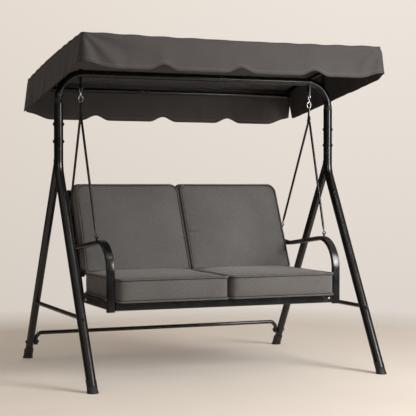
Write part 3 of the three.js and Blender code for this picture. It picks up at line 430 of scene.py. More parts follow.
def belt_cloth():
    """Black webbing with a herringbone rib."""
    n = Nodes("black_webbing")
    across, along = uv_plane(n)
    zigzag = n.math("ABSOLUTE", n.math("SUBTRACT", n.math("FRACT", n.math("DIVIDE", across, 0.01)), 0.5))
    slant = n.math("MULTIPLY_ADD", zigzag, 0.012, along)
    rib = n.math("SINE", n.math("MULTIPLY", slant, 2 * math.pi / 0.0018))
    fuzz = n.noise(n.place(), 900, 3.0)
    colour = n.blend(n.ramp(rib, -1, 1, 0, 1), grey(0.006), grey(0.020))
    colour = n.blend(n.math("MULTIPLY", fuzz, 0.4), colour, grey(0.030))
    n.constants(Sheen_Weight=0.2)
    relief = n.math("MULTIPLY_ADD", fuzz, 0.4, n.ramp(rib, -1, 1, 0, 1))
    rough = n.ramp(fuzz, 0.3, 0.7, 0.7, 0.9)
    return n.surface(base_color=colour, roughness=rough, normal=n.bump(relief, 0.0005, 0.7))


def floor_paint():
    """A pale floor that fades into the backdrop's colour away from the object."""
    n = Nodes("pale_floor")
    at = n.place()
    length = n.add("ShaderNodeVectorMath", {0: at}, operation="LENGTH").outputs["Value"]
    fade = n.ramp(length, FLOOR["fade_from"], FLOOR["fade_to"], 0.0, 1.0)
    mottle = n.noise(at, 3.0, 4.0)
    colour = n.blend(mottle, (0.80, 0.735, 0.67, 1), (0.86, 0.795, 0.73, 1))
    n.surface(base_color=colour, roughness=n.ramp(mottle, 0, 1, 0.5, 0.65))
    n.constants(Emission_Color=FLOOR_GLOW, Emission_Strength=FLOOR["glow"])
    clear = n.add("ShaderNodeBsdfTransparent")
    both = n.add("ShaderNodeMixShader", {0: fade, 1: n.shader.outputs[0], 2: clear.outputs[0]})
    output = n.tree.nodes["Material Output"]
    n.set(output.inputs["Surface"], both.outputs[0])
    return n.material


def stage_piece(bm, name, material):
    mesh = bpy.data.meshes.new(name)
    bm.to_mesh(mesh)
    bm.free()
    mesh.materials.append(material)
    piece = bpy.data.objects.new(name, mesh)
    scene.collection.objects.link(piece)
    return piece


def make_floor():
    bm = bmesh.new()
    bmesh.ops.create_circle(bm, cap_ends=True, segments=96, radius=FLOOR["radius"])
    stage_piece(bm, "floor", floor_paint())


def backdrop_paint():
    """A glowing wall, a little brighter on the right and towards the top."""
    n = Nodes("backdrop_paint")
    at = n.add("ShaderNodeSeparateXYZ", {0: n.place()}).outputs
    wall = n.blend(n.ramp(at[0], 2.0, 12.0, 0, 1), WALL_LEFT, WALL_RIGHT)
    shade = n.ramp(at[2], -4.5, 6.0, 0.80, 1.0)
    colour = n.blend(shade, (0, 0, 0, 1), wall)
    glow = n.add("ShaderNodeEmission", {"Color": colour, "Strength": 1.0})
    n.set(n.tree.nodes["Material Output"].inputs["Surface"], glow.outputs[0])
    return n.material


def make_backdrop():
    """A dome round the studio that only the camera sees, so it adds no light of its own."""
    bm = bmesh.new()
    bmesh.ops.create_uvsphere(bm, u_segments=64, v_segments=48, radius=DOME_RADIUS)
    dome = stage_piece(bm, "backdrop", backdrop_paint())
    dome.data.shade_smooth()
    dome.visible_diffuse = dome.visible_glossy = dome.visible_shadow = False


MATERIALS = {
    "frame_black": powder_coat(),
    "plastic_black": moulded_plastic(),
    "zinc_plate": zinc_plate(),
    "cushion_fabric": cushion_cloth(),
    "canopy_fabric": canopy_cloth(),
    "webbing": belt_cloth(),
}
PIPING_CLOTH = cushion_cloth("piping_canvas", 0.0008)
# near-black canvas for the cords beside the piping: painted shadow along the seams
SEAM_SHADOW_CLOTH = cushion_cloth("seam_shadow_canvas", 0.0008, 0.12)

# ---------------------------------------------------------------- mesh tools


def publish(bm, name, body, slot, stands_for=(), sharp=35, material=None):
    """Turns a finished bmesh into a piece that rides on a body."""
    bmesh.ops.recalc_face_normals(bm, faces=bm.faces)
    mesh = bpy.data.meshes.new(name)
    bm.to_mesh(mesh)
    bm.free()
    mesh.shade_smooth()
    mesh.set_sharp_from_angle(angle=math.radians(sharp))
    mesh.materials.append(material or MATERIALS[slot])
    piece = bpy.data.objects.new(name, mesh)
    scene.collection.objects.link(piece)
    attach(piece, body)
    if stands_for:
        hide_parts(*stands_for)
    return piece


def bent(corners, radii=(), step=4.0):
    """Points along straight runs joined by an arc at each inner corner."""
    points = [corners[0]]
    for i, radius in enumerate(radii, start=1):
        arriving = (corners[i] - corners[i - 1]).normalized()
        leaving = (corners[i + 1] - corners[i]).normalized()
        turn = arriving.angle(leaving)
        start = corners[i] - arriving * (radius * math.tan(turn / 2))
        axis = arriving.cross(leaving).normalized()
        centre = start + axis.cross(arriving) * radius
        count = max(2, math.ceil(math.degrees(turn) / step))
        for k in range(count + 1):
            points.append(centre + Matrix.Rotation(turn * k / count, 3, axis) @ (start - centre))
    points.append(corners[-1])
    return points


def turns(count):
    return [2 * math.pi * i / count for i in range(count)]


def ring_section(radius, sides):
    return [(radius * math.cos(a), radius * math.sin(a)) for a in turns(sides)]


def loop_round(centre, across, up, radius, count):
    return [centre + (across * math.cos(a) + up * math.sin(a)) * radius for a in turns(count)]


def bridge(bm, low, high):
    """A band of quads between two closed loops of as many points."""
    around = len(low)
    for k in range(around):
        m = (k + 1) % around
        bm.faces.new((low[k], low[m], high[m], high[k]))


def box_section(width, height, corner, steps=4):
    """A rectangle with rounded corners, centred on the origin."""
    outline = []
    for quarter in range(4):
        sign_x = 1 if quarter in (0, 3) else -1
        sign_y = 1 if quarter < 2 else -1
        for k in range(steps + 1):
            angle = (quarter + k / steps) * math.pi / 2
            x = sign_x * (width / 2 - corner) + corner * math.cos(angle)
            y = sign_y * (height / 2 - corner) + corner * math.sin(angle)
            outline.append((x, y))
    return outline


def sweep(bm, points, section, side, closed=False, scales=None, dome=0.0):
    """Sweeps a section along points. side is a direction that stays across the path."""
    count = len(points)
    rings = []
    for i, here in enumerate(points):
        before = points[(i - 1) % count] if closed or i > 0 else here
        after = points[(i + 1) % count] if closed or i < count - 1 else here
        along = (after - before).normalized()
        across = (side - along * side.dot(along)).normalized()
        up = along.cross(across)
        grow = scales[i] if scales else 1.0
        rings.append([bm.verts.new(here + (across * a + up * b) * grow) for a, b in section])
    for i in range(count if closed else count - 1):
        bridge(bm, rings[i], rings[(i + 1) % count])
    if not closed:
        for ring, inner in ((rings[0], points[1]), (rings[-1], points[-2])):
            centre = sum((v.co for v in ring), Vector()) / len(section)
            out = (centre - inner).normalized() * dome
            last = ring
            for scale, rise in ((0.85, 0.55), (0.45, 0.9)) if dome else ():
                smaller = [bm.verts.new(centre + (v.co - centre) * scale + out * rise) for v in ring]
                bridge(bm, last, smaller)
                last = smaller
            bm.faces.new(last)


def tube(bm, points, radius, side, sides=32, **options):
    sweep(bm, points, ring_section(radius, sides), side, **options)


def straight(a, b, count=2):
    return [a.lerp(b, i / (count - 1)) for i in range(count)]


def turned(bm, profile, base, direction, segments=40):
    """Turns a profile of (radius, height) about an axis. It starts and ends on the axis or closes."""
    axis = direction.normalized()
    across = axis.orthogonal().normalized()
    up = axis.cross(across)
    on_axis = [r < 1e-6 for r, _ in profile]
    rings = []
    for (r, h), single in zip(profile, on_axis):
        if single:
            rings.append([bm.verts.new(base + axis * h)] * segments)
            continue
        spots = loop_round(base + axis * h, across, up, r, segments)
        rings.append([bm.verts.new(spot) for spot in spots])
    last = len(rings) if not on_axis[0] else len(rings) - 1
    for i in range(last):
        low, high = rings[i], rings[(i + 1) % len(rings)]
        for k in range(segments):
            corners = (low[k], low[(k + 1) % segments], high[(k + 1) % segments], high[k])
            unique = list(dict.fromkeys(corners))
            if len(unique) > 2:
                bm.faces.new(unique)


def weld_bead(bm, centre, direction, radius, bead=0.0028):
    """A small rippled ring of weld round a tube."""
    across = direction.orthogonal().normalized()
    up = direction.normalized().cross(across)
    ring = loop_round(centre, across, up, radius, 72)
    ripple = [1 + 0.14 * math.sin(i * 1.7) for i in range(72)]
    sweep(bm, ring, ring_section(bead, 8), direction, closed=True, scales=ripple)


def hex_head(bm, base, direction, radius=0.008, height=0.003, dome=0.0016):
    """A washer, a chamfered hexagon on it, and a low dome on that."""
    lip = 0.0012
    washer = [(0, 0), (radius * 1.15, 0), (radius * 1.2, lip * 0.4), (radius * 1.12, lip), (0, lip)]
    turned(bm, washer, base, direction)
    at = base + direction * lip
    profile = [(0, 0), (radius, 0), (radius, height * 0.8), (radius * 0.88, height), (0, height)]
    turned(bm, profile, at, direction, segments=6)
    rim = radius * 0.84
    rise = dome + height * 0.1
    cap = [(rim * math.cos(a), height * 0.9 + rise * math.sin(a)) for a in (0, 0.4, 0.8, 1.2)]
    turned(bm, [(0, height * 0.5), (rim, height * 0.5), *cap, (0, height + dome)], at, direction, 24)


def lug(bm, centre, normal, hole, outline, thickness):
    """A flat plate with a round hole. outline gives its radius in each direction round the hole."""
    across = (Z_AXIS - normal * Z_AXIS.dot(normal)).normalized()
    up = normal.cross(across)
    loops = []
    for depth in (-thickness / 2, thickness / 2):
        for inner in (True, False):
            loop = []
            for angle in turns(48):
                r = hole if inner else outline(angle)
                spot = centre + normal * depth + (across * math.cos(angle) + up * math.sin(angle)) * r
                loop.append(bm.verts.new(spot))
            loops.append(loop)
    near_in, near_out, far_in, far_out = loops
    for a, b in ((near_in, near_out), (near_out, far_out), (far_out, far_in), (far_in, near_in)):
        bridge(bm, a, b)


def tongue(direction, depth):
    """The outline of a lug, round at its head, that runs on in one direction. Up is angle 0."""
    pointing = math.atan2(-direction.y, direction.z)

    def outline(angle):
        ahead, aside = math.cos(angle - pointing), abs(math.sin(angle - pointing))
        if ahead <= 0:
            return LUG["half"]
        return min(LUG["half"] / max(aside, 1e-6), depth / ahead)

    return outline


def dress(node, slot, bevel=0.0012):
    """Gives a CAD node its finish and eases its edges."""
    piece = frame["nodes"][node]
    piece.data.materials.clear()
    piece.data.materials.append(MATERIALS[slot])
    easing = piece.modifiers.new("eased_edges", "BEVEL")
    easing.width = bevel
    easing.segments = 2
    easing.limit_method = "ANGLE"
    easing.angle_limit = math.radians(28)
    easing.harden_normals = True


# ---------------------------------------------------------------- stand


def make_top_bar():
    bm = bmesh.new()
    corners = [
        Vector((-POST_X, PLANE_Y, BAR_END_Z)),
        Vector((-POST_X, PLANE_Y, BAR_Z)),
        Vector((POST_X, PLANE_Y, BAR_Z)),
        Vector((POST_X, PLANE_Y, BAR_END_Z)),
    ]
    tube(bm, bent(corners, (BAR_BEND_RADIUS,) * 2, 3), BAR_RADIUS, Y_AXIS, 40)
    publish(bm, "top_bar_tube", "stand", "frame_black", ["top_bar"])


def make_front_leg(name, side):
    x = side * POST_X
    corners = [
        Vector((x, PLANE_Y, POST_TOP_Z)),
        Vector((x, PLANE_Y, FRONT_BEND_Z)),
        Vector((x, front_leg_y(LEG_END_Z), LEG_END_Z)),
    ]
    bm = bmesh.new()
    path = bent(corners, (LEG_BEND_RADIUS,), 2)
    tube(bm, path, FRONT_LEG_RADIUS, X_AXIS, 40)
    publish(bm, f"front_leg_tube_{name}", "stand", "frame_black", [f"front_leg_{name}"])


def make_rear_leg(name, side):
    """The rear leg's tube, with its top cut to fit round the post, and the weld there."""
    x = side * POST_X
    top = Vector((x, PLANE_Y, REAR_JOIN_Z))
    foot = Vector((x, rear_leg_y(LEG_END_Z), LEG_END_Z))
    along = (foot - top).normalized()
    up = along.cross(X_AXIS)
    bm = bmesh.new()
    mouth, end = [], []
    for a, b in ring_section(REAR_LEG_RADIUS, 40):
        offset = X_AXIS * a + up * b
        reach = math.sqrt(max(0.0, FRONT_LEG_RADIUS**2 - a * a))
        run = (reach - offset.y) / along.y
        mouth.append(top + offset + along * run)
        end.append(foot + offset)
    rows = 12
    rings = [[bm.verts.new(m.lerp(e, i / rows)) for m, e in zip(mouth, end)] for i in range(rows + 1)]
    for low, high in zip(rings, rings[1:]):
        bridge(bm, low, high)
    bm.faces.new(rings[-1])
    bead = [spot + along * 0.001 for spot in mouth]
    sweep(bm, bead, ring_section(0.0026, 8), along, closed=True)
    publish(bm, f"rear_leg_tube_{name}", "stand", "frame_black", [f"rear_leg_{name}"])


def make_foot(name, node, foot_y, lean, radius):
    """A plastic shoe: a flared rim on the ground, two ribs and a rolled mouth round the leg."""
    x = mounts[f"foot_front_{name.split('_')[-1]}"].x
    rim = size(node).x / 2
    body = rim - 0.0022
    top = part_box(node)[1].z
    mouth = radius + 0.0006
    profile = [(0, 0), (rim - 0.0015, 0), (rim, 0.0015), (rim, 0.005), (body, 0.0125)]
    for rib in (0.022, 0.031):
        groove = body - 0.0012
        profile += [(body, rib), (groove, rib + 0.001), (groove, rib + 0.0025), (body, rib + 0.0035)]
    profile += [(body, top - 0.0045), (body + 0.0008, top - 0.003), (body + 0.0004, top - 0.0006)]
    profile += [(body - 0.001, top), (mouth, top), (mouth, top - 0.006), (0, top - 0.006)]
    bm = bmesh.new()
    turned(bm, profile, Vector((x, foot_y, 0)), Z_AXIS, 48)
    for vert in bm.verts:
        vert.co.y += lean * vert.co.z
    publish(bm, f"shoe_{name}", "stand", "plastic_black", [node])


def make_collar(name, side):
    low = POST_TOP_Z
    inner = BAR_RADIUS + 0.0002
    outer = FRONT_LEG_RADIUS
    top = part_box(f"post_collar_{name}")[1].z
    neck, lip = outer - 0.003, outer + 0.0008
    profile = [(inner, low - 0.002), (neck, low - 0.002), (neck, low), (outer + 0.0004, low)]
    profile += [(lip, low + 0.0012), (lip, low + 0.004), (outer - 0.0004, low + 0.006)]
    profile += [(outer - 0.0008, top - 0.006), (outer - 0.0016, top - 0.0025)]
    profile += [(inner + 0.0012, top), (inner, top)]
    bm = bmesh.new()
    turned(bm, profile, Vector((side * POST_X, PLANE_Y, 0)), Z_AXIS, 48)
    publish(bm, f"collar_{name}", "stand", "plastic_black", [f"post_collar_{name}"])


def make_side_brace(name, side):
    """A round tube between the front leg and the rear leg."""
    z = middle(f"side_brace_{name}").z
    radius = size(f"side_brace_{name}").z / 2
    x = side * POST_X
    front = Vector((x, front_leg_y(z), z))
    rear = Vector((x, rear_leg_y(z), z))
    bm = bmesh.new()
    tube(bm, straight(front + Y_AXIS * 0.012, rear - Y_AXIS * 0.012, 12), radius, X_AXIS, 28)
    publish(bm, f"side_brace_tube_{name}", "stand", "frame_black", [f"side_brace_{name}"])


def make_stretcher():
    low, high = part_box("rear_stretcher")
    y = (low.y + high.y) / 2
    radius = (high.y - low.y) / 2
    end_x, level = high.x - radius, high.z - radius
    knee = 0.022
    half = [
        Vector((-end_x, y, low.z)),
        Vector((-end_x, y, level - knee)),
        Vector((-end_x + knee, y, level)),
    ]
    corners = half + [Vector((-p.x, p.y, p.z)) for p in reversed(half)]
    bm = bmesh.new()
    tube(bm, bent(corners, (0.018, 0.026, 0.026, 0.018), 5), radius, Y_AXIS, 28)
    publish(bm, "rear_stretcher_tube", "stand", "frame_black", ["rear_stretcher"])


def make_bolt(node, outward, nut):
    """A bolt's outer head, its shank, and a domed nut on the far end where there is one."""
    low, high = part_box(node)
    centre = (low + high) / 2
    half = abs((high - low).dot(outward)) / 2
    head_depth, shank_radius = 0.0058, 0.004
    head = centre + outward * (half - head_depth)
    bm = bmesh.new()
    hex_head(bm, head, outward)
    tube(bm, straight(head, centre - outward * (half - shank_radius)), shank_radius, Z_AXIS, 16)
    if nut:
        hex_head(bm, centre - outward * (half - head_depth), -outward, radius=0.0075)
    publish(bm, f"{node}_hex", "stand", "frame_black", [node], sharp=25)


def make_stand():
    make_top_bar()
    make_stretcher()
    lean_front = (PLANE_Y - FRONT_FOOT_Y) / FRONT_BEND_Z
    lean_rear = (PLANE_Y - REAR_FOOT_Y) / REAR_JOIN_Z
    for name, side in SIDES.items():
        outward = X_AXIS * side
        make_front_leg(name, side)
        make_rear_leg(name, side)
        make_foot(f"front_{name}", f"foot_cap_front_{name}", FRONT_FOOT_Y, lean_front, FRONT_LEG_RADIUS)
        make_foot(f"rear_{name}", f"foot_cap_rear_{name}", REAR_FOOT_Y, lean_rear, REAR_LEG_RADIUS)
        make_collar(name, side)
        make_side_brace(name, side)
        for level in ("upper", "lower"):
            make_bolt(f"post_bolt_{level}_{name}", outward, True)
        make_bolt(f"brace_bolt_front_{name}", -Y_AXIS, False)
        make_bolt(f"brace_bolt_rear_{name}", Y_AXIS, False)
        make_bolt(f"stretcher_bolt_{name}", outward, True)
        dress(f"hanger_bracket_{name}", "frame_black")
        dress(f"canopy_bracket_{name}", "frame_black")


# ---------------------------------------------------------------- canopy


def cover_z(y):
    """Height of the cover's top over a place in Y."""
    from_posts = y - PLANE_Y
    return CROWN["z"] + CROWN["slope"] * from_posts - CROWN["sag"] * from_posts**2


def squared_corner(x, y, half_x, half_y, corner):
    """Moves a grid point near a square corner onto a rounded one, of one radius or one for each end."""
    if isinstance(corner, tuple):
        corner = corner[0] if y < 0 else corner[1]
    p, q = abs(x) - (half_x - corner), abs(y) - (half_y - corner)
    if p <= 0 or q <= 0:
        return x, y
    pull = max(p, q) / math.hypot(p, q)
    return math.copysign(half_x - corner + p * pull, x), math.copysign(half_y - corner + q * pull, y)


def hem_z(x, y, normal):
    """Height of the hem: scalloped in front and behind, straight at the sides."""
    front = y < PLANE_Y
    corner = HEM_CORNER["front"] if front else HEM_CORNER["back"]
    t = (y - COVER_FRONT_Y) / (COVER_BACK_Y - COVER_FRONT_Y)
    side = lerp(HEM_SIDE_FRONT_Z, HEM_CORNER["back"], t)
    near_front = smooth(0.440, 0.500, PLANE_Y - y)
    side = lerp(side, corner, near_front if front else 0.0)
    lobe = HEM_FRONT_Z if front else HEM_BACK_Z
    rise = smooth(0.640, COVER_HALF_WIDTH - 0.015, abs(x))
    nearest = NOTCH["spacing"] if abs(x) > NOTCH["spacing"] / 2 else 0.0
    notch = 1 - smooth(0.0, NOTCH["half_width"], abs(abs(x) - nearest))
    facing = lerp(lobe, corner, rise) + NOTCH["height"] * notch
    return lerp(side, facing, smooth(0.3, 0.95, abs(normal.y)))


def valance_fold(x, y, drop, along, normal):
    """How far the hanging cloth stands out from its plain shape: soft waves, and folds from the corners."""
    free = smooth(0.05, 1.0, drop)
    waves = 0.0028 * math.sin(along * 21.0 + 0.6) + 0.0022 * math.sin(along * 47.0 + 2.1)
    waves += 0.0014 * math.sin(along * 83.0 + 1.3) * drop
    waves *= 0.6 + 0.8 * noise.noise(Vector((along * 3.1, 4.7, 0.0)))
    fan = 0.0
    if abs(normal.y) > 0.5 and y < PLANE_Y:
        from_corner = COVER_HALF_WIDTH - abs(x)
        fall = drop * 0.165
        angle = math.atan2(fall, max(0.004, from_corner))
        reach = math.hypot(fall, from_corner)
        strength = smooth(0.0, 0.05, reach) * (1 - smooth(0.16, 0.46, reach))
        fan = 0.0050 * math.sin(angle * 9.5 + 0.9) * strength
    return waves * free + fan


def top_sag(x, y):
    """The cover dips between its bars and arms, and is drawn tight towards its corners."""
    u = x / COVER_HALF_WIDTH
    v = 2 * (y - COVER_FRONT_Y) / (COVER_BACK_Y - COVER_FRONT_Y) - 1
    dip = 0.012 * (1 - u * u) ** 0.8 * max(0.0, 1 - v * v)
    edge = 0.007 * (1 - u * u) * smooth(0.75, 1.0, abs(v))
    ripple = 0.0022 * noise.noise(Vector((x * 5.0, y * 7.0, 1.7))) * (1 - abs(u * v))
    crease = 0.0016 * math.sin(34 * (abs(u) - abs(v))) * smooth(0.9, 1.5, abs(u) + abs(v))
    return -dip - edge + ripple + crease


def make_cover():
    """One sheet: a rectangular top, and a valance hanging from its edge, slit at the rear corners."""
    columns, rows, drops = 132, 90, 18
    half_y = (COVER_BACK_Y - COVER_FRONT_Y) / 2
    centre_y = (COVER_BACK_Y + COVER_FRONT_Y) / 2
    bm = bmesh.new()
    uv = bm.loops.layers.uv.new("cloth")
    place = {}
    grid = {}
    for i in range(columns + 1):
        for j in range(rows + 1):
            x = COVER_HALF_WIDTH * (2 * i / columns - 1)
            y = half_y * (2 * j / rows - 1)
            x, y = squared_corner(x, y, COVER_HALF_WIDTH, half_y, COVER_CORNER)
            y += centre_y
            grid[i, j] = bm.verts.new((x, y, cover_z(y) + top_sag(x, y)))
            place[grid[i, j]] = (x, y + 10.0)
    for i in range(columns):
        for j in range(rows):
            bm.faces.new((grid[i, j], grid[i + 1, j], grid[i + 1, j + 1], grid[i, j + 1]))
    loop = [(i, 0) for i in range(columns)] + [(columns, j) for j in range(rows)]
    loop += [(i, rows) for i in range(columns, 0, -1)] + [(0, j) for j in range(rows, 0, -1)]
    slits = {(0, rows): -1, (columns, rows): 1}
    strips = []
    along = 0.0
    for k, key in enumerate(loop):
        top = grid[key].co
        before = grid[loop[k - 1]].co
        after = grid[loop[(k + 1) % len(loop)]].co
        along += (top - before).length if k else 0.0
        tangent = Vector((after.x - before.x, after.y - before.y, 0)).normalized()
        normal = Vector((tangent.y, -tangent.x, 0))
        hem = hem_z(top.x, top.y, normal)
        columns_here = []
        for turn in (-1, 1):
            column = [grid[key]]
            for d in range(1, drops + 1):
                drop = d / drops
                rounded = 0.0
                if key[1] == rows or top.y > COVER_BACK_Y - 0.05:
                    near = max(0.0, 1 - (COVER_HALF_WIDTH - abs(top.x)) / 0.03)
                    rounded = 0.012 * near * near if abs(normal.y) > 0.6 else 0.0
                z = lerp(top.z, hem + rounded, drop)
                fold = valance_fold(top.x, top.y, drop, along, normal)
                roll = 0.004 * smooth(0.0, 0.12, drop)
                spot = Vector((top.x, top.y, z)) + normal * (COVER_FLARE * drop - 0.004 + roll + fold)
                gap = 0.0
                if key in slits and z < SLIT["apex"]:
                    open_share = (SLIT["apex"] - z) / (SLIT["apex"] - HEM_BACK_Z)
                    gap = SLIT["width"] / 2 * open_share
                if gap == 0.0 and turn == 1:
                    column.append(columns_here[0][d])
                    continue
                made = bm.verts.new(spot + tangent * gap * turn)
                place[made] = (along, z - hem)
                column.append(made)
            columns_here.append(column)
        strips.append(columns_here)
    for k, strip in enumerate(strips):
        left, right = strip[1], strips[(k + 1) % len(strips)][0]
        for d in range(drops):
            bm.faces.new((left[d], left[d + 1], right[d + 1], right[d]))
    perimeter = along
    for face in bm.faces:
        spots = [place[loop_corner.vert] for loop_corner in face.loops]
        hangs = any(spot[1] < 5 for spot in spots)
        for corner, spot in zip(face.loops, spots):
            u, v = spot
            if hangs and v > 5:
                v = corner.vert.co.z - HEM_FRONT_Z
                u = next(s[0] for s in spots if s[1] < 5)
            corner[uv].uv = (u, v)
    cover = publish(bm, "canopy_sheet", "canopy", "canopy_fabric", ["canopy_cover"], sharp=80)
    shell = cover.modifiers.new("cloth_thickness", "SOLIDIFY")
    shell.thickness = COVER_THICK
    shell.offset = -1
    depth = COVER_BACK_Y - COVER_FRONT_Y
    area = 2 * COVER_HALF_WIDTH * depth * COVER_BOW + perimeter * COVER_DROP["mean"]


def make_canopy_frame():
    for end in ("front", "rear"):
        node = f"canopy_{end}_bar"
        low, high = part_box(node)
        radius = (high.z - low.z) / 2
        mid = (low + high) / 2
        reach = Vector(((high.x - low.x) / 2, 0, 0))
        bm = bmesh.new()
        tube(bm, straight(mid - reach, mid + reach, 16), radius, Y_AXIS, 28)
        publish(bm, f"{node}_tube", "canopy", "frame_black", [node])
    for name, side in SIDES.items():
        low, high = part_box(f"canopy_arm_{name}")
        radius = (high.x - low.x) / 2
        x = (low.x + high.x) / 2
        below = radius + 0.0045
        stations = [PLANE_Y + 0.001 * y for y in (-506, -170, 170, 440)]
        corners = [Vector((x, y, cover_z(y) - below)) for y in stations]
        rear = middle("canopy_rear_bar")
        corners.append(Vector((x, rear.y, cover_z(rear.y) - below - 0.002)))
        corners.append(Vector((x, rear.y, low.z)))
        bm = bmesh.new()
        tube(bm, bent(corners, (1.2, 1.2, 0.6, 0.020), 3), radius, X_AXIS, 28)
        publish(bm, f"canopy_arm_tube_{name}", "canopy", "frame_black", [f"canopy_arm_{name}"])
        make_pivot_bolt(name, side)
        make_knob(name, side)


def make_pivot_bolt(name, side):
    """The canopy's pivot: a domed head outside the arm, a spacer sleeve, and the thread for the knob."""
    node = f"canopy_pivot_bolt_{name}"
    low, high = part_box(node)
    outward = X_AXIS * side
    outer = high.x if side > 0 else low.x
    inner = low.x if side > 0 else high.x
    axis_y = (low.y + high.y) / 2
    at = lambda x: Vector((x, axis_y, PIVOT_Z))
    arm_face = middle(f"canopy_arm_{name}").x - side * (size(f"canopy_arm_{name}").x / 2)
    ear_face = middle(f"canopy_bracket_{name}").x + side * (size(f"canopy_bracket_{name}").x / 2)
    bm = bmesh.new()
    hex_head(bm, at(outer - side * 0.005), outward, height=0.0025, dome=0.0013)
    tube(bm, straight(at(outer - side * 0.004), at(inner)), 0.004, Z_AXIS, 20)
    sleeve = abs(arm_face - ear_face)
    profile = [(0.0045, 0), (0.008, 0.0004), (0.008, sleeve - 0.0004), (0.0045, sleeve)]
    turned(bm, profile, at(ear_face), outward, 32)
    publish(bm, f"pivot_bolt_{name}", "canopy", "zinc_plate", [node], sharp=30)


def make_knob(name, side):
    """A hand knob with five soft lobes and a dished face."""
    node = f"canopy_knob_{name}"
    low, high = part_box(node)
    centre = (low + high) / 2
    depth = high.x - low.x
    levels = [(0.0, 0.62), (0.08, 0.72), (0.3, 0.86), (0.5, 1.0), (0.85, 1.0)]
    levels += [(0.96, 0.95), (1.0, 0.86), (1.0, 0.55), (0.9, 0.45), (0.9, 0.36)]
    near = high.x if side > 0 else low.x
    bm = bmesh.new()
    rings = []
    for share, grow in levels:
        ring = []
        for angle in turns(KNOB["around"]):
            lobe = KNOB["lobe"] * math.cos(KNOB["lobes"] * angle) * smooth(0.5, 0.9, grow)
            r = KNOB["radius"] * grow + lobe
            y, z = centre.y + r * math.cos(angle), PIVOT_Z + r * math.sin(angle)
            ring.append(bm.verts.new((near - side * depth * share, y, z)))
        rings.append(ring)
    for a, b in zip(rings, rings[1:] + rings[:1]):
        bridge(bm, a, b)
    publish(bm, f"hand_knob_{name}", f"knob_{name}", "plastic_black", [node], sharp=50)


# ---------------------------------------------------------------- hangers


def make_hook(name, side):
    """A swivel hook in zinc: a forged fork on a domed pin, a barrel, and a long ring."""
    x = side * HANGER_X
    pin = Vector((x, PLANE_Y, HOOK_PIVOT_Z))
    bm = bmesh.new()
    arm_x, arm_top, arm_foot = 0.0062, 0.006, -0.0185
    plan = ((-arm_x, arm_top), (-arm_x, arm_foot), (arm_x, arm_foot), (arm_x, arm_top))
    fork = [pin + Vector((a, 0, z)) for a, z in plan]
    sweep(bm, bent(fork, (0.006, 0.006), 9), box_section(0.010, 0.003, 0.0012), Y_AXIS, dome=0.0008)
    pin_radius = 0.0025
    dome = [(0.0042 * math.cos(a), 0.0022 * math.sin(a)) for a in (0, 0.5, 1.0)]
    rivet = [(0, -0.001), (pin_radius, -0.001), (pin_radius, 0), *dome, (0, 0.0022)]
    for outward in (X_AXIS, -X_AXIS):
        turned(bm, rivet, pin + outward * 0.0078, outward, 24)
    tube(bm, straight(pin - X_AXIS * 0.008, pin + X_AXIS * 0.008), pin_radius, Z_AXIS, 20)
    barrel = [(0, 0), (0.0035, 0), (0.0058, 0.0015), (0.0058, 0.0055), (0.0038, 0.0075)]
    barrel += [(0.0038, 0.0135), (0, 0.0135)]
    turned(bm, barrel, pin - Z_AXIS * 0.0315, Z_AXIS, 32)
    ring_centre = Vector((x, PLANE_Y, YOKE_PIVOT_Z + 0.016))
    ring = loop_round(ring_centre, X_AXIS * 0.011, Z_AXIS * 0.016, 1, 64)
    sweep(bm, ring, ring_section(0.0026, 16), Y_AXIS, closed=True)
    publish(bm, f"swivel_hook_{name}", f"hook_{name}", "zinc_plate", [f"hanger_hook_{name}"], sharp=40)


def make_rod(name, side, end, eye):
    """A rod from the yoke down to its eye: a narrowed upper end with a weld bead, a tapered neck, and a ring at
    the foot.
    """
    lean = -1 if end == "front" else 1
    top = Vector((side * HANGER_X, PLANE_Y + lean * ROD_SPREAD_Y, YOKE_FOOT_Z - 0.0033))
    foot = Vector((side * EYE_X, eye.y, eye.z))
    along = (foot - top).normalized()
    bm = bmesh.new()
    path = straight(top - along * 0.004, foot - along * 0.0185, 24)
    neck = [1.0] * 23 + [0.62]
    neck[0] = 0.8
    tube(bm, path, ROD_RADIUS, X_AXIS, 24, scales=neck)
    shank = straight(foot - along * 0.0187, foot - along * 0.0078, 5)
    tube(bm, shank, 0.0037, X_AXIS, 20, scales=[1, 0.95, 0.8, 0.72, 0.66])
    ring = loop_round(foot, X_AXIS, Z_AXIS, EYE_RING["radius"], 56)
    sweep(bm, ring, ring_section(EYE_RING["wire"], 14), Y_AXIS, closed=True)
    weld_bead(bm, top + along * 0.002, along, ROD_RADIUS - 0.0008, 0.0018)
    publish(bm, f"rod_{end}_{name}", "seat", "frame_black", [f"hanger_rod_{end}_{name}"])


def make_hangers():
    for name, side in SIDES.items():
        make_hook(name, side)
        dress(f"hanger_yoke_{name}", "frame_black", 0.0008)
        make_rod(name, side, "front", FRONT_EYE)
        make_rod(name, side, "rear", REAR_EYE)


# ---------------------------------------------------------------- seat frame


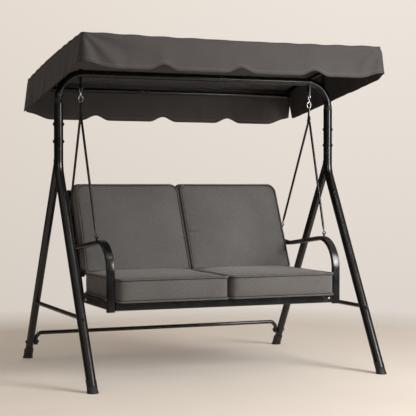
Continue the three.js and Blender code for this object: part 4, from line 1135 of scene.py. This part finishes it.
def make_armrest(name, side):
    """The bent flat tube of an armrest, its plugged foot, and the drilled lug under the front rod."""
    x = side * ARM_X
    end_z = ARM_DIP["z"] + 0.012
    corners = [
        Vector((x, ARM_FRONT_Y, ARM_FOOT_Z)),
        Vector((x, ARM_FRONT_Y, ARM_CORNER_Z)),
        Vector((x, ARM_DIP["y"], ARM_DIP["z"])),
        Vector((x, lean_y(end_z) + 0.002, end_z)),
    ]
    path = bent(corners, (ARM_BEND_RADIUS, ARM_DIP["radius"]), 2.5)
    bm = bmesh.new()
    section = box_section(ARM_SECTION["wide"], ARM_SECTION["thin"], ARM_SECTION["corner"])
    sweep(bm, path, section, X_AXIS)
    hole = Vector((side * EYE_X, FRONT_EYE.y, FRONT_EYE.z - EYE_RING["radius"]))
    lug(bm, hole, X_AXIS, LUG["hole"], tongue(-Z_AXIS, 0.026), LUG["thick"])
    publish(bm, f"armrest_tube_{name}", "seat", "frame_black", [f"armrest_{name}"])
    plug = bmesh.new()
    foot = Vector((x, ARM_FRONT_Y, ARM_FOOT_Z))
    cap = box_section(ARM_SECTION["wide"] - 0.001, ARM_SECTION["thin"] - 0.001, 0.0045)
    stations = [foot + Z_AXIS * z for z in (-0.0012, -0.0006, 0.012)]
    sweep(plug, stations, cap, X_AXIS, scales=[0.93, 1, 0.99])
    publish(plug, f"arm_plug_{name}", "seat", "plastic_black")


def make_upright(name, side):
    x = side * UPRIGHT_X
    at = lambda z: Vector((x, lean_y(z), z))
    foot_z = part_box(f"back_upright_{name}")[0].z
    bm = bmesh.new()
    tube(bm, straight(at(foot_z - 0.002), at(UPRIGHT_TOP_Z), 20), UPRIGHT_RADIUS, X_AXIS, 28)
    weld_bead(bm, at(foot_z + 0.001), Z_AXIS, UPRIGHT_RADIUS + 0.0008, 0.002)
    hole = Vector((side * EYE_X, REAR_EYE.y, REAR_EYE.z - EYE_RING["radius"]))
    root = Vector((side * EYE_X, lean_y(REAR_EYE.z) - 0.006, hole.z))
    lug(bm, hole, X_AXIS, LUG["hole"], tongue(Y_AXIS, root.y - hole.y + 0.006), LUG["thick"])
    stub = straight(Vector((x, root.y, root.z)), root + X_AXIS * (side * LUG["thick"] / 2))
    tube(bm, stub, 0.006, Z_AXIS, 24)
    face_x = side * (UPRIGHT_X + UPRIGHT_RADIUS - 0.0005)
    weld_bead(bm, Vector((face_x, root.y, root.z)), X_AXIS, 0.0062, 0.0018)
    publish(bm, f"back_upright_tube_{name}", "seat", "frame_black", [f"back_upright_{name}"])
    cap = bmesh.new()
    along = (at(UPRIGHT_TOP_Z) - at(0.8)).normalized()
    r = UPRIGHT_RADIUS
    stem, rim = r - 0.0018, r + 0.0002
    profile = [(0, -0.012), (stem, -0.012), (stem, 0), (rim, 0), (rim, 0.0025)]
    profile += [(r * 0.8, 0.0048), (r * 0.4, 0.0058), (0, 0.006)]
    turned(cap, profile, at(UPRIGHT_TOP_Z), along, 32)
    publish(cap, f"upright_plug_{name}", "seat", "plastic_black")


def make_back_rail():
    low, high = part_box("back_top_rail")
    mid = (low + high) / 2
    reach = Vector(((high.x - low.x) / 2, 0, 0))
    bm = bmesh.new()
    tube(bm, straight(mid - reach, mid + reach, 24), (high.z - low.z) / 2, Y_AXIS, 28)
    for end in (-1, 1):
        weld_bead(bm, mid + reach * end, X_AXIS, (high.z - low.z) / 2 + 0.0008, 0.002)
    publish(bm, "back_top_rail_tube", "seat", "frame_black", ["back_top_rail"])


def make_webbing():
    """Belts of the back, woven over and under each other and wrapped round the tubes."""
    low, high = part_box("back_webbing")
    width, thickness = BELT["width"], BELT["thick"]
    up = Vector((0, math.sin(BACK_LEAN), math.cos(BACK_LEAN)))
    out = Vector((0, -math.cos(BACK_LEAN), math.sin(BACK_LEAN)))
    base = Vector((0, lean_y(low.z + 0.005), low.z + 0.005))
    length = (BACK_RAIL_Z - base.z) / math.cos(BACK_LEAN)
    half = (high.x - low.x) / 2
    ups = [lerp(-half + width, half - width, i / (BELT["ups"] - 1)) for i in range(BELT["ups"])]
    panel = length - UPRIGHT_RADIUS - 0.0003
    crosses = [panel * (i + 0.5) / BELT["crosses"] for i in range(BELT["crosses"])]
    bm = bmesh.new()
    uv = bm.loops.layers.uv.new("cloth")
    area = 0.0

    def belt(points, across):
        nonlocal area
        shares = (-0.5, -0.46, -0.25, 0, 0.25, 0.46, 0.5)
        rows, runs, run = [], [], 0.0
        for i, here in enumerate(points):
            before, after = points[max(0, i - 1)], points[min(len(points) - 1, i + 1)]
            run += (here - before).length if i else 0.0
            runs.append(run)
            normal = across.cross(after - before).normalized()
            row = []
            for face in (1, -1):
                for share in shares if face > 0 else reversed(shares):
                    thin = 0.35 if abs(share) == 0.5 else 1.0
                    rise = normal * (face * thickness / 2 * thin)
                    row.append(bm.verts.new(here + across * (width * share) + rise))
            rows.append(row)
        around = len(rows[0])
        spans = [0.5 + s for s in shares] + [0.5 + s for s in reversed(shares)]
        for i in range(len(rows) - 1):
            for k in range(around):
                m = (k + 1) % around
                face = bm.faces.new((rows[i][k], rows[i][m], rows[i + 1][m], rows[i + 1][k]))
                values = ((k, i), (m, i), (m, i + 1), (k, i + 1))
                for corner, (c, r) in zip(face.loops, values):
                    corner[uv].uv = (spans[c] * width, runs[r])
        bm.faces.new(rows[0])
        bm.faces.new(rows[-1])
        area += width * run

    def weave(position, crossings, first):
        lift = 0.0
        for i, crossing in enumerate(crossings):
            over = 1 if (i + first) % 2 else -1
            lift += over * 0.0013 * math.exp(-(((position - crossing) / 0.026) ** 2))
        return lift

    rail_low, rail_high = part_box("rear_rail")
    for i, x in enumerate(ups):
        points = []
        rail_front = rail_low.y - 0.0012
        for z in (rail_low.z + 0.008, rail_low.z + 0.022, rail_high.z - 0.004):
            points.append(Vector((x, rail_front, z)))
        steps = 60
        for k in range(steps + 1):
            t = (length - 0.002) * (k / steps)
            lift = WEB_OFFSET + weave(t, crosses, i)
            points.append(base + Vector((x, 0, 0)) + up * t + out * lift)
        centre = base + Vector((x, 0, 0)) + up * length
        wrap = UPRIGHT_RADIUS + 0.0014
        for k in range(1, 13):
            angle = math.pi * k / 12
            points.append(centre + out * (wrap * math.cos(angle)) + up * (wrap * math.sin(angle)))
        points += [centre - out * wrap - up * t for t in (0.012, 0.024, 0.034)]
        belt(points, X_AXIS)
    for j, t in enumerate(crosses):
        centre = base + up * t
        points = []
        wrap = UPRIGHT_RADIUS + 0.0014
        for side in (-1, 1):
            tube_at = centre + X_AXIS * (side * UPRIGHT_X)
            arc = [tube_at - out * wrap - X_AXIS * (side * s) for s in (0.034, 0.02, 0.006)]
            for k in range(1, 12):
                angle = math.pi * k / 12
                beside = X_AXIS * (side * wrap * math.sin(angle))
                arc.append(tube_at - out * (wrap * math.cos(angle)) + beside)
            if side < 0:
                points += arc
                for k in range(111):
                    x = lerp(-half + 0.004, half - 0.004, k / 110)
                    lift = lerp(WEB_OFFSET, wrap, smooth(half - 0.02, half, abs(x)))
                    points.append(centre + X_AXIS * x + out * (lift - weave(x, ups, j)))
            else:
                points += list(reversed(arc))
        belt(points, up)
    webbing = publish(bm, "back_belts", "seat", "webbing", ["back_webbing"], sharp=60)


def make_seat_screws():
    """Bright screws: one in the front rail's right end, and one in the outer face of each side rail."""
    rail_low, rail_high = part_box("front_rail")
    z = (rail_low.z + rail_high.z) / 2
    for name, side in SIDES.items():
        bm = bmesh.new()
        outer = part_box(f"side_rail_{name}")[1 if side > 0 else 0].x
        hex_head(bm, Vector((outer, PLANE_Y + 0.030, z)), X_AXIS * side, radius=0.006)
        if side > 0:
            hex_head(bm, Vector((rail_high.x - 0.022, rail_low.y, z + 0.003)), -Y_AXIS, radius=0.005)
        publish(bm, f"rail_screws_{name}", "seat", "zinc_plate", sharp=25)


def make_seat_frame():
    for node in ("front_rail", "rear_rail", "side_rail_left", "side_rail_right"):
        dress(node, "frame_black", 0.0016)
    dress("seat_grid", "frame_black", 0.0007)
    make_back_rail()
    make_webbing()
    make_seat_screws()
    for name, side in SIDES.items():
        make_armrest(name, side)
        make_upright(name, side)


# ---------------------------------------------------------------- cushions


class Cushion:
    """A boxed cushion in its own space: a across, b along its length, c through its thickness.

    The two seams run round it at c = 0 and c = 1, and its cloth is a grid between and inside them.
    """

    def __init__(self, half_a, half_b, thickness, corner, pull, to_world, cells=(68, 64, 12)):
        self.half_a, self.half_b = half_a, half_b
        self.thickness, self.corner, self.pull = thickness, corner, pull
        self.to_world = to_world
        self.cells = cells

    def plan(self, i, j):
        """A grid point in the plan, with rounded corners and sides that pull in between them."""
        a = self.half_a * (2 * i / self.cells[0] - 1)
        b = self.half_b * (2 * j / self.cells[1] - 1)
        a, b = squared_corner(a, b, self.half_a, self.half_b, self.corner)
        u, v = a / self.half_a, b / self.half_b
        a -= math.copysign(self.pull * (1 - v * v) * abs(u) ** 4, a)
        b -= math.copysign(self.pull * (1 - u * u) * abs(v) ** 4, b)
        return a, b

    def border(self):
        na, nb, _ = self.cells
        loop = [(i, 0) for i in range(na)] + [(na, j) for j in range(nb)]
        return loop + [(i, nb) for i in range(na, 0, -1)] + [(0, j) for j in range(nb, 0, -1)]

    def build(self, name):
        """The plain shape as a mesh object. Returns it with the points on its seams."""
        na, nb, nc = self.cells
        bm = bmesh.new()
        faces = {}
        for level in (0, 1):
            for i in range(na + 1):
                for j in range(nb + 1):
                    a, b = self.plan(i, j)
                    faces[level, i, j] = bm.verts.new(self.to_world(a, b, level * self.thickness))
            for i in range(na):
                for j in range(nb):
                    corners = ((i, j), (i + 1, j), (i + 1, j + 1), (i, j + 1))
                    quad = [faces[(level, *corner)] for corner in corners]
                    bm.faces.new(quad if level else list(reversed(quad)))
        border = self.border()
        walls = []
        for i, j in border:
            a, b = self.plan(i, j)
            wall = [faces[0, i, j]]
            for k in range(1, nc):
                wall.append(bm.verts.new(self.to_world(a, b, self.thickness * k / nc)))
            wall.append(faces[1, i, j])
            walls.append(wall)
        for k, wall in enumerate(walls):
            following = walls[(k + 1) % len(walls)]
            for c in range(nc):
                bm.faces.new((wall[c], following[c], following[c + 1], wall[c + 1]))
        bm.verts.index_update()
        seams = [wall[end].index for wall in walls for end in (0, -1)]
        floor = [faces[0, i, j].index for i in range(na + 1) for j in range(nb + 1)]
        mesh = bpy.data.meshes.new(name)
        bm.to_mesh(mesh)
        bm.free()
        plain = bpy.data.objects.new(name, mesh)
        scene.collection.objects.link(plain)
        return plain, seams, floor

    def seam_points(self, level, out=0.0):
        points = []
        for i, j in self.border():
            a, b = self.plan(i, j)
            away = Vector((a, b)).normalized() * out
            points.append(self.to_world(a + away.x, b + away.y, level * self.thickness))
        return points


def inflate(plain, held, cap, pressure=4.0, frames=20):
    """Blows the cloth up between its held seams, and keeps the result as plain mesh points."""
    rest = [v.co.copy() for v in plain.data.vertices]
    pins = plain.vertex_groups.new(name="held")
    for weight, members in held:
        pins.add(members, weight, "REPLACE")
    cloth = plain.modifiers.new("inflate", "CLOTH")
    settings = cloth.settings
    for key, value in PAD_CLOTH.items():
        setattr(settings, key, value)
    settings.use_pressure = True
    settings.uniform_pressure_force = pressure
    settings.vertex_group_mass = "held"
    settings.effector_weights.gravity = 0
    cloth.collision_settings.use_collision = False
    cloth.point_cache.frame_end = frames
    for step in range(1, frames + 1):
        scene.frame_set(step)
    blown = plain.evaluated_get(bpy.context.evaluated_depsgraph_get())
    moved = [v.co.copy() for v in blown.data.vertices]
    plain.modifiers.remove(cloth)
    scene.frame_set(1)
    for vert, start, end in zip(plain.data.vertices, rest, moved):
        step = end - start
        length = step.length
        if length > 1e-9:
            vert.co = start + step * (cap * math.tanh(length / cap) / length)


def refine(plain):
    """Applies one subdivision to a mesh object."""
    smoothing = plain.modifiers.new("smooth", "SUBSURF")
    smoothing.levels = smoothing.render_levels = 1
    finer = bpy.data.meshes.new_from_object(plain.evaluated_get(bpy.context.evaluated_depsgraph_get()))
    plain.modifiers.clear()
    plain.data = finer


def relax(plain, seams, rounds):
    """Evens out the small ripples of the simulation between the seams."""
    bm = bmesh.new()
    bm.from_mesh(plain.data)
    kept = set(seams)
    free = [vert for vert in bm.verts if vert.index not in kept]
    for _ in range(rounds):
        bmesh.ops.smooth_vert(bm, verts=free, factor=0.5, use_axis_x=True, use_axis_y=True, use_axis_z=True)
    bm.to_mesh(plain.data)
    bm.free()


def piping(cushion, name):
    """The corded seam round both edges of a cushion, with a thin near-black cord on each side of it as painted
    shadow of the seam.
    """
    cord, seam_shadow = bmesh.new(), bmesh.new()
    normal = (cushion.to_world(0, 0, 1) - cushion.to_world(0, 0, 0)).normalized()
    for level in (0, 1):
        points = cushion.seam_points(level, PIPING["out"])
        wobble = [1 + 0.05 * math.sin(i * 0.9) + 0.04 * math.sin(i * 0.37) for i in range(len(points))]
        sweep(cord, points, ring_section(PIPING["cord"], 12), normal, closed=True, scales=wobble)
        inward = normal * (1 - 2 * level)
        # near-black cords on the wall side and the face side of the piping: painted shadow of the seam
        beside = [point + inward * 0.0052 for point in cushion.seam_points(level, 0.0016)]
        sweep(seam_shadow, beside, ring_section(PIPING["seam_shadow"], 8), normal, closed=True)
        inside = [point - inward * 0.0030 for point in cushion.seam_points(level, -0.0034)]
        sweep(seam_shadow, inside, ring_section(PIPING["seam_shadow"], 8), normal, closed=True)
    publish(cord, f"{name}_piping", "seat", "cushion_fabric", material=PIPING_CLOTH)
    publish(seam_shadow, f"{name}_welt", "seat", "cushion_fabric", material=SEAM_SHADOW_CLOTH)


def finish_cushion(cushion, plain, name, node):
    refine(plain)
    plain.name = name
    plain.data.name = name
    plain.data.shade_smooth()
    plain.data.materials.clear()
    plain.data.materials.append(MATERIALS["cushion_fabric"])
    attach(plain, "seat")
    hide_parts(node)
    piping(cushion, name)


def pucker(cushion, plain, spots):
    """Presses short folds into the cloth beside a seam. A spot is (a, b, length, depth, width)."""
    for vert in plain.data.vertices:
        a, b, c = cushion.from_world(vert.co)
        if c < cushion.thickness * 0.5:
            continue
        change = 0.0
        for at, along, length, depth, width in spots:
            inward = (cushion.half_a - abs(a)) if at * a > 0 else 1.0
            reach = smooth(0.0, 0.012, inward) * (1 - smooth(length * 0.4, length, inward))
            across = (b - along) / width
            change += depth * reach * (math.exp(-across * across) - 0.55 * math.exp(-((across - 1.7) ** 2)))
        vert.co = cushion.to_world(a, b, c - change)


SEAT_LOW, SEAT_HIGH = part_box("seat_cushion_right")
BACK_LOW, BACK_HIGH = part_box("back_cushion_right")


def make_seat_cushion(name, side):
    low, high = SEAT_LOW, SEAT_HIGH
    centre = Vector((side * (low.x + high.x) / 2, (low.y + high.y) / 2, 0))
    base_z = low.z + 0.004
    thickness = BACK_LOW.z - 0.0035 - base_z

    def to_world(a, b, c):
        return Vector((centre.x + a, centre.y + b, base_z + c))

    half_a = (high.x - low.x) / 2 - 0.0045
    half_b = (high.y - low.y) / 2 - 0.006
    cushion = Cushion(half_a, half_b, thickness, SEAT_PAD["corner"], SEAT_PAD["pull"], to_world)
    cushion.from_world = lambda p: (p.x - centre.x, p.y - centre.y, p.z - base_z)
    plain, seams, floor = cushion.build(f"seat_plain_{name}")
    held = [(SEAT_PAD["floor"], floor), (1.0, seams)]
    inflate(plain, held, SEAT_PAD["cap"], SEAT_PAD["pressure"])
    relax(plain, seams, 10)
    # under the back cushion the seat is pressed flat
    rest_y, limit = BACK_LOW.y - 0.016, BACK_LOW.z - 0.0010
    for vert in plain.data.vertices:
        press = smooth(rest_y - 0.055, rest_y, vert.co.y)
        ceiling = lerp(SEAT_HIGH.z + 0.004, limit, press)
        if vert.co.z > ceiling:
            vert.co.z = ceiling
    finish_cushion(cushion, plain, f"seat_pad_{name}", f"seat_cushion_{name}")


def make_back_cushion(name, side):
    low, high = BACK_LOW, BACK_HIGH
    slope = math.tan(BACK_LEAN)
    centre_x = side * ((low.x + high.x) / 2 + 0.0015)
    base_z = low.z + 0.001
    height = high.z - base_z - 0.003
    front_y = low.y - 0.0105
    thickness = BACK_PAD_THICK

    # b runs up the cushion and c runs forward, out of its front face
    def to_world(a, b, c):
        up = b + height / 2
        return Vector((centre_x + a, front_y + (thickness - c) + up * slope, base_z + up))

    def from_world(p):
        up = p.z - base_z
        return p.x - centre_x, up - height / 2, thickness - (p.y - front_y - up * slope)

    half_a = (high.x - low.x) / 2 - 0.0040
    cushion = Cushion(half_a, height / 2, thickness, BACK_PAD["corner"], BACK_PAD["pull"], to_world)
    cushion.from_world = from_world
    plain, seams, floor = cushion.build(f"back_plain_{name}")
    held = [(BACK_PAD["floor"], floor), (1.0, seams)]
    inflate(plain, held, BACK_PAD["cap"], BACK_PAD["pressure"])
    relax(plain, seams, 8)
    # its foot rests on the seat
    for vert in plain.data.vertices:
        vert.co.z = max(vert.co.z, low.z)
    rng = random.Random(5 + side)
    spots = [(-1, b, 0.070 + 0.02 * rng.random(), 0.0060, 0.006) for b in (0.115, 0.055, -0.03)]
    spots += [(1, b, 0.050 + 0.02 * rng.random(), 0.0035, 0.006) for b in (0.09, -0.06)]
    pucker(cushion, plain, spots)
    finish_cushion(cushion, plain, f"back_pad_{name}", f"back_cushion_{name}")


# ---------------------------------------------------------------- assembly

make_camera()
make_world()
for side_name, side_sign in SIDES.items():
    make_seat_cushion(side_name, side_sign)
    make_back_cushion(side_name, side_sign)
make_stand()
make_canopy_frame()
make_cover()
make_hangers()
make_seat_frame()
make_floor()
make_backdrop()
for light in LIGHTS:
    make_light(*light)
